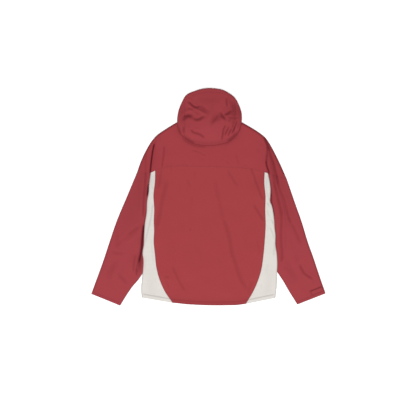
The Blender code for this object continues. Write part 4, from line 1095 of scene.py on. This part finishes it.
class Side:
    """The lines that the pieces of one side of the jacket share at their seams."""

    def __init__(self, name):
        self.name = name
        self.underarm = np.array(SIDE_EDGE[name][0])
        rows = 1 - graded(SIDE_LENGTH, STEP, (HEM_DEPTH,))
        self.seam = smooth(SIDE_SEAM[name], rows)
        self.edge = smooth(SIDE_EDGE[name], rows)
        self.edge_normals = pointing_away(self.edge, self.seam, BODY_INSIDE)
        self.edge_inset = self.edge - self.edge_normals * BODY_REACH
        self.shoulder = smooth(SHOULDER[name], graded(SHOULDER_LENGTH, STEP))
        self.shoulder_normals = eased(outward(self.shoulder, BODY_INSIDE), self.shoulder,
                                      heading(self.underarm, self.shoulder[0]), reach=SHOULDER_EASE)
        rows = graded(SLEEVE_LENGTH, STEP, (SLEEVE_LENGTH - CUFF_DEPTH,))
        self.outer = smooth(SLEEVE_OUTER[name], rows)
        self.inner = smooth(SLEEVE_INNER[name], rows)
        self.outer_normals = pointing_away(self.outer, self.inner, BODY_INSIDE)
        self.inner_normals = pointing_away(self.inner, self.outer, self.outer[len(rows) // 2])

    def armhole(self):
        """Points on the yoke's edge over the sleeve, from the shoulder's end to the side panel's seam."""
        start = self.shoulder_at(BODY_REACH)[0]
        return joined(straight(start, self.underarm, graded(ARMHOLE_LENGTH[self.name], FINE)),
                      straight(self.underarm, self.seam[-1], 12))

    def cuff_rows(self):
        """Crease rows for the cuff's edge and the groove of its stitches."""
        rows = []
        for distance, *row in CUFF_ROWS:
            ends = [line[-1] + heading(line[-1], line[UP_THE_CUFF]) * distance
                    for line in (self.outer, self.inner)]
            rows.append((*row, straight(*ends, 4)))
        return tuple(rows)

    def shoulder_at(self, distance):
        """The shoulder's line, moved in from the outline by a distance."""
        return self.shoulder - self.shoulder_normals * distance


def yoke_columns():
    """Points on the seam between the yoke and the back."""
    return smooth(YOKE_SEAM, graded(BACK_WIDTH, STEP))


def build_back(left, right, surface, finish):
    """Back body panel, from the yoke's seam to the hem. Gives its stitch lines."""
    top = yoke_columns()
    plan = patch(smooth(HEM, share(top)), top, left.seam, right.seam)
    grid = raised(plan, surface)
    add_cloth("back_panel", [grid], finish)
    sideways = grid.swapaxes(0, 1)
    return [line_on(grid, HEM_DEPTH), line_on(sideways, SEAM_ROW), line_on(sideways[::-1], SEAM_ROW)]


def build_yoke(left, right, upper, lower, finish):
    """Back yoke: over both dropped shoulders, and round them to a strip on the hidden side."""
    first = left.shoulder_at(BODY_REACH)
    last = right.shoulder_at(BODY_REACH)
    near = joined(left.armhole(), yoke_columns(), right.armhole()[::-1])
    across = share(near)[:, None]
    neck = smooth(BACK_NECK, share(near))
    neck = neck + (first[-1] - neck[0]) * (1 - across) + (last[-1] - neck[-1]) * across
    top = raised(patch(near, neck, first, last), upper)
    grids = [top]
    for side, inset in ((left, first), (right, last)):
        ends = upper(*inset.T), lower(*inset.T)
        grids.append(turned(inset, side.shoulder_normals, BODY_REACH, *ends, SHOULDER_SHADE))
        strip = [side.shoulder_at(distance) for distance in np.linspace(BODY_REACH, STRIP, 5)]
        grids.append(raised(np.stack(strip, axis=1), lower))
    add_cloth("yoke_back", grids, finish)
    return [line_on(top, SEAM_ROW)]


def build_side_panel(side, upper, lower, finish):
    """Side panel in one piece from the back's seam, round the fold, to the front's seam."""
    plan = spanned(side.seam, side.edge_inset, graded(SIDE_WIDTH, STEP))
    ends = upper(*side.edge_inset.T), lower(*side.edge_inset.T)
    top = raised(plan, upper)
    under = raised(plan, lower)
    fold = turned(side.edge_inset, side.edge_normals, BODY_REACH, *ends)
    add_cloth(f"side_{side.name}", [top, fold, under], finish)
    return [line_on(top, HEM_DEPTH), line_on(under, HEM_DEPTH, upper=False)]


def build_front(side, surface, finish):
    """Front: from the zip to the side seam, and on over the shoulder to the yoke's strip."""
    foot, flat_foot, hem_middle = mirrored(FRONT_HEM, side.name)
    chest_start, flat_chest, throat = mirrored(
        ((ZIP_EDGE, CHEST), (ZIP_FLAT, CHEST), (ZIP_EDGE, THROAT)), side.name)
    beside_zip = graded(ZIP_FLAT - ZIP_EDGE, STEP)
    outer = graded(FRONT_WIDTH, COARSE)
    zip_line = smooth((foot, chest_start), share(side.seam))
    hem = joined(straight(foot, flat_foot, beside_zip), smooth((flat_foot, hem_middle, side.seam[0]), outer))
    chest = joined(straight(chest_start, flat_chest, beside_zip), straight(flat_chest, side.seam[-1], outer))
    body = raised(patch(hem, chest, zip_line, side.seam), surface)
    strip = side.shoulder_at(STRIP)
    near = joined(chest, straight(side.seam[-1], side.underarm, 5), straight(side.underarm, strip[0], 6))
    neck = smooth(mirrored(FRONT_NECK, side.name), share(near))
    neck = neck + (strip[-1] - neck[-1]) * share(near)[:, None]
    centre = smooth((chest_start, throat), share(strip))
    breast = raised(patch(near, neck, centre, strip), surface)
    add_cloth(f"front_{side.name}", [body, breast], finish)
    along_zip = [line_on(grid.swapaxes(0, 1), SEAM_ROW, upper=False) for grid in (body, breast)]
    beside_seam = line_on(body.swapaxes(0, 1)[::-1], SEAM_ROW, upper=False)
    return along_zip + [beside_seam, line_on(body, HEM_DEPTH, upper=False)]


def build_sleeve(side, upper, lower, finish):
    """Sleeve: a flat tube from the yoke's seam to the cuff, in one piece."""
    outer = side.outer - side.outer_normals * SLEEVE_REACH
    inner = side.inner - side.inner_normals * SLEEVE_REACH
    grids = []
    for step, surface in ((STEP, upper), (COARSE, lower)):
        grids.append(raised(spanned(outer, inner, graded(SLEEVE_WIDTH, step)), surface))
    for inset, normals in ((outer, side.outer_normals), (inner, side.inner_normals)):
        grids.append(turned(inset, normals, SLEEVE_REACH, upper(*inset.T), lower(*inset.T)))
    add_cloth(f"sleeve_{side.name}", grids, finish)
    top, under = grids[:2]
    return [line_on(top, SEAM_ROW), line_on(top[::-1], CUFF_DEPTH),
            line_on(under[::-1], CUFF_DEPTH, upper=False)]


def build_tab(side, surface, finish):
    """Fastening tab that lies on the cuff, parallel to its edge."""
    corner = side.outer[-1]
    along = heading(corner, side.inner[-1])
    up = heading(corner, side.outer[UP_THE_CUFF])
    start = corner + along * TAB_IN + up * TAB_UP
    low_edge = straight(start, start + along * TAB_LENGTH, graded(TAB_LENGTH, TAB_STEP))
    plan = low_edge[None] + (graded(TAB_WIDTH, TAB_STEP) * TAB_WIDTH)[:, None, None] * up
    grid = raised(plan, laid_on(surface, CLOTH + LAY))
    add_cloth("cuff_tab", [grid], finish, thickness=CLOTH)
    sideways = grid.swapaxes(0, 1)
    return [line_on(edge, TAB_ROW) for edge in (grid, grid[::-1], sideways, sideways[::-1])]


# ---------------------------------------------------------------- hood

class HoodOutline:
    """Points round the hood as it lies, each with the direction square to the outline."""

    def __init__(self):
        columns = graded(HOOD_WIDTH, HOOD_STEP)
        rows = graded(HOOD_LENGTH, HOOD_STEP)
        overhang = smooth(HOOD_OVERHANG, columns)
        crown = smooth(HOOD_CROWN, columns)
        right = smooth(HOOD_SIDE["right"], rows)
        left = smooth(HOOD_SIDE["left"], rows)
        ring = joined(overhang, right, crown[::-1], left[::-1])[:-1]
        normals = square_to(np.roll(ring, -1, axis=0) - np.roll(ring, 1, axis=0))
        inset = ring - normals * HOOD_REACH
        wide, tall = len(columns) - 1, len(rows) - 1
        order = {
            "overhang": range(0, wide + 1),
            "right": range(wide, wide + tall + 1),
            "crown": range(2 * wide + tall, wide + tall - 1, -1),
            "left": range(2 * wide + 2 * tall, 2 * wide + tall - 1, -1),
        }
        places = {name: np.array(numbers) % len(ring) for name, numbers in order.items()}
        self.inset = {name: inset[numbers] for name, numbers in places.items()}
        self.normals = {name: normals[numbers] for name, numbers in places.items()}
        self.rows = rows

    def seam(self, side):
        """The seam on top between the hood's centre and its side."""
        edge = self.inset[side]
        return smooth((edge[0], edge[-1]), share(edge))

    def fold(self, name, high, low):
        """The cloth turning down round one stretch, from one surface to another."""
        inset = self.inset[name]
        return turned(inset, self.normals[name], HOOD_REACH, high(*inset.T), low(*inset.T), HOOD_SHADE)


def build_hood_centre(outline, top, back, lower, finish):
    """Back and crown of the hood: from the neck, out over the yoke, over the top and under the brim."""
    overhang = outline.inset["overhang"]
    crown = outline.inset["crown"]
    neck = smooth(HOOD_NECK, share(overhang))
    brim = smooth(BRIM, share(overhang))
    grids = [outline.fold("overhang", top, back), outline.fold("crown", top, lower)]
    stretches = ((overhang, crown, outline.rows, top), (overhang, neck, 16, back), (crown, brim, 6, lower))
    for near, far, rows, surface in stretches:
        grids.append(raised(spanned(near, far, rows).swapaxes(0, 1), surface))
    add_cloth("hood_centre", grids, finish)
    dome, under = grids[2], grids[4]
    sideways = dome.swapaxes(0, 1)
    return [line_on(sideways, SEAM_ROW), line_on(sideways[::-1], SEAM_ROW), line_on(dome[::-1], CROWN_ROW),
            line_on(under[::-1], FACE_ROW, upper=False)]


def build_hood_side(outline, side, top, back, lower, finish):
    """Side of the hood: from the seam near its fold, round the fold, and under the face to the zip."""
    edge = outline.inset[side.name]
    seam = outline.seam(side.name)
    plan = np.stack([seam * (1 - t) + edge * t for t in np.linspace(0.0, 1.0, 9)], axis=1)
    clear = int(np.searchsorted(edge[:, 1], HOOD_CLEAR_Y))

    def lowest(x, y):
        over_yoke = np.arange(len(x)) < clear
        return tuple(np.where(over_yoke, above, below) for above, below in zip(back(x, y), lower(x, y)))

    neck_start, neck_end = mirrored((HOOD_NECK[-1], HOOD_NECK_END), side.name)
    returned = patch(straight(edge[0], neck_start, 6), straight(edge[clear - 1], neck_end, 6),
                     edge[:clear], straight(neck_start, neck_end, share(edge[:clear])))
    strip_end = side.shoulder_at(STRIP)[-1]
    cheek_edge = edge[clear:]
    neck_points = mirrored(FRONT_NECK[:-1], side.name) + [strip_end]
    front_neck = smooth(neck_points, graded(NECK_LENGTH, COARSE))
    near = joined(front_neck, straight(strip_end, side.shoulder[-1], 4),
                  straight(side.shoulder[-1], cheek_edge[0], 8))
    face = smooth(mirrored(FACE_EDGE, side.name), share(cheek_edge))
    cheek = raised(patch(near, smooth((face[-1], cheek_edge[-1]), share(near)), face, cheek_edge), lower)
    grids = [raised(plan, top), outline.fold(side.name, top, lowest), raised(returned, back), cheek]
    add_cloth(f"hood_{side.name}", grids, finish)
    return [line_on(cheek.swapaxes(0, 1), FACE_ROW, upper=False)]


# ---------------------------------------------------------------- zip

def zip_level(y):
    """Height of the chain's middle at places along it."""
    y = np.asarray(y, float)
    return lower_base(np.zeros(y.shape), y) + CLOTH / 2 + LAY + TAPE / 2


def build_tapes(finish):
    """Two tapes that the chain's teeth are moulded on."""
    def surface(x, y):
        return zip_level(y), np.zeros(x.shape)

    rows = np.linspace(ZIP_FOOT, ZIP_HEAD, 116)
    for name, sign in (("left", -1), ("right", 1)):
        columns = sign * np.linspace(TAPE_INNER, TAPE_OUTER, 7)
        plan = np.dstack(np.meshgrid(columns, rows))
        grid = raised(plan, surface)
        add_cloth(f"zip_tape_{name}", [grid], finish, TAPE)


def build_chain(finish):
    """Closed chain: teeth from each side in turn, whose wide heads lie between the others."""
    plan = TOOTH + tuple((x, -y) for x, y in reversed(TOOTH))
    count = len(plan)
    ring = range(count)
    points = []
    faces = []
    places = np.arange(ZIP_FOOT + CHAIN_ENDS[0], ZIP_HEAD - CHAIN_ENDS[1], TOOTH_PITCH)
    for number, y in enumerate(places):
        sign = 1 if number % 2 else -1
        first = len(points)
        for level in (-CHAIN / 2, CHAIN / 2):
            points.extend((sign * x * MM, y + dy * MM, zip_level(y) + level) for x, dy in plan)
        faces.append([first + corner for corner in ring])
        faces.append([first + count + corner for corner in reversed(ring)])
        for here in ring:
            after = (here + 1) % count
            faces.append([first + here, first + count + here, first + count + after, first + after])
    chain = add_piece("zip_teeth", points, faces, finish, "zip_chain")
    rounded = chain.modifiers.new("rounded", "BEVEL")
    rounded.width = TOOTH_EDGE
    rounded.segments = 1


def round_off(node, finish, width, body="jacket"):
    """A hard piece with the shape of its CAD node and rounded edges."""
    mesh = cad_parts[node].data.copy()
    piece = bpy.data.objects.new(node + "_rounded", mesh)
    bpy.context.scene.collection.objects.link(piece)
    solid = bmesh.new()
    solid.from_mesh(mesh)
    bmesh.ops.remove_doubles(solid, verts=solid.verts[:], dist=0.005 * MM)
    bmesh.ops.dissolve_limit(solid, angle_limit=math.radians(1), verts=solid.verts[:], edges=solid.edges[:])
    solid.to_mesh(mesh)
    solid.free()
    mesh.materials.clear()
    mesh.materials.append(finish)
    mesh.shade_smooth()
    rounded = piece.modifiers.new("rounded", "BEVEL")
    rounded.width = width
    rounded.segments = 3
    rounded.limit_method = "ANGLE"
    rounded.harden_normals = True
    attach(piece, body)
    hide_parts(node)


# ---------------------------------------------------------------- set

def build_floor():
    """Wide pale floor just under the cloth."""
    mesh = bpy.data.meshes.new("floor")
    level = CAD_BOX[0][2] - 0.2 * MM
    corners = [(x * FLOOR_HALF, y * FLOOR_HALF, level) for x, y in ((-1, -1), (1, -1), (1, 1), (-1, 1))]
    mesh.from_pydata(corners, [], [(0, 1, 2, 3)])
    floor = bpy.data.objects.new("floor", mesh)
    mesh.materials.append(pale_floor())
    bpy.context.scene.collection.objects.link(floor)


def add_light(name, kind, place, power):
    """Light of a kind, soft box or sun, that faces the jacket."""
    data = bpy.data.lights.new(name, kind)
    data.energy = power
    light = bpy.data.objects.new(name, data)
    light.location = place
    light.rotation_mode = "QUATERNION"
    light.rotation_quaternion = (-Vector(place)).to_track_quat("-Z", "Y")
    bpy.context.scene.collection.objects.link(light)
    return data


def build_light():
    """Bright even studio: a white dome, a soft key nearly overhead and a fill from the hem's side."""
    world = bpy.data.worlds.new("studio")
    world.use_nodes = True
    sky = world.node_tree.nodes["Background"]
    sky.inputs["Color"].default_value = (1.0, 1.0, 1.0, 1.0)
    sky.inputs["Strength"].default_value = SKY_POWER
    bpy.context.scene.world = world
    key = add_light("key", "SUN", KEY_PLACE, KEY_POWER)
    key.angle = math.radians(KEY_SPREAD)
    fill = add_light("fill", "AREA", FILL_PLACE, FILL_POWER)
    fill.size = FILL_SIZE
    bpy.context.scene.view_settings.view_transform = "Standard"


def build_camera():
    """Camera straight above, so that the view's width on the surface is VIEW_WIDTH."""
    data = bpy.data.cameras.new("camera")
    data.lens = LENS
    data.sensor_width = SENSOR
    camera = bpy.data.objects.new("camera", data)
    camera.location = (*VIEW_CENTRE, VIEW_WIDTH * LENS / SENSOR)
    bpy.context.scene.collection.objects.link(camera)
    bpy.context.scene.camera = camera


# ---------------------------------------------------------------- run

def valleys(seam, *lines):
    """Rows for the valleys of seams of one kind, each along its own line."""
    return [(*seam, line[::SEAM_EVERY]) for line in lines]


def build_shell(left, right):
    """Every piece of cloth but the zip's, and their stitches."""
    outline = HoodOutline()
    red = shell_cloth("shell_red", RED, RED_IN_SHADE)
    # The sleeves', yoke's and hood's cloth is the red cloth with painted shade in its colour.
    red_sleeve = {"left": shell_cloth("shell_red_left_sleeve", SHADED_RED, RED_IN_SHADE, SLEEVE_ANGLE),
                  "right": shell_cloth("shell_red_right_sleeve", SHADED_RED, RED_IN_SHADE, -SLEEVE_ANGLE)}
    red_yoke = shell_cloth("shell_red_yoke", YOKE_SHADED_RED, RED_IN_SHADE)
    red_hood = shell_cloth("shell_red_hood", SHADED_RED, RED_IN_SHADE)
    cream = shell_cloth("shell_cream", CREAM, CREAM_IN_SHADE, contrast=0.5)
    back_valleys = valleys(BACK_SEAM, left.seam, right.seam)
    panel_valleys = valleys(PANEL_SEAM, left.seam, right.seam)
    hood_valleys = valleys(HOOD_SEAM, outline.seam("left"), outline.seam("right"))
    cuff_rows = left.cuff_rows() + right.cuff_rows()
    folds = ARMHOLE_CREASES + BACK_CREASES + PANEL_CREASES
    sleeve_folds = ARMHOLE_CREASES + LEFT_SLEEVE_CREASES + RIGHT_SLEEVE_CREASES + EDGE_ROLLS
    body = upper_cloth(body_base, folds + EDGE_ROLLS + HEM_ROWS, back_valleys)
    panel = upper_cloth(body_base, folds + PANEL_HEM_ROWS, panel_valleys)
    lower = lower_cloth(lower_base, FRONT_CREASES + HEM_ROWS, panel_valleys)
    plain_lower = lower_cloth(lower_base)
    sleeve = upper_cloth(sleeve_base, sleeve_folds + cuff_rows)
    sleeve_under = lower_cloth(flat_base, SLEEVE_UNDER_CREASES + cuff_rows)
    dome = upper_cloth(hood_base, HOOD_CREASES + HOOD_ROLLS, hood_valleys, hood_inside)
    returned = laid_on(body, CLOTH + RETURN_LAY)
    red_rows = build_back(left, right, body, red) + build_yoke(left, right, body, lower, red_yoke)
    cream_rows = []
    for side in (left, right):
        cream_rows += build_side_panel(side, panel, lower, cream)
        red_rows += build_front(side, lower, red)
        red_rows += build_sleeve(side, sleeve, sleeve_under, red_sleeve[side.name])
        red_rows += build_hood_side(outline, side, dome, returned, plain_lower, red_hood)
    red_rows += build_hood_centre(outline, dome, returned, plain_lower, red_hood)
    red_rows += build_tab(right, sleeve, red_sleeve["right"])
    add_stitches("red_stitches", red_rows, thread("red_thread", RED_THREAD))
    add_stitches("cream_stitches", cream_rows, thread("cream_thread", CREAM_THREAD))


def build_zip():
    """Tapes, chain, box, slider and the pull, which turns on the slider."""
    build_tapes(tape_cloth("zip_tape", RED_THREAD))
    build_chain(moulded_plastic("zip_chain", DARK))
    metal = enamelled_metal("zip_metal", DARK)
    round_off("zip_box", metal, 0.4 * MM)
    round_off("zip_slider", metal, 0.3 * MM)
    round_off("zip_pull", metal, 0.35 * MM, "pull")


build_floor()
build_light()
build_camera()
build_shell(Side("left"), Side("right"))
build_zip()
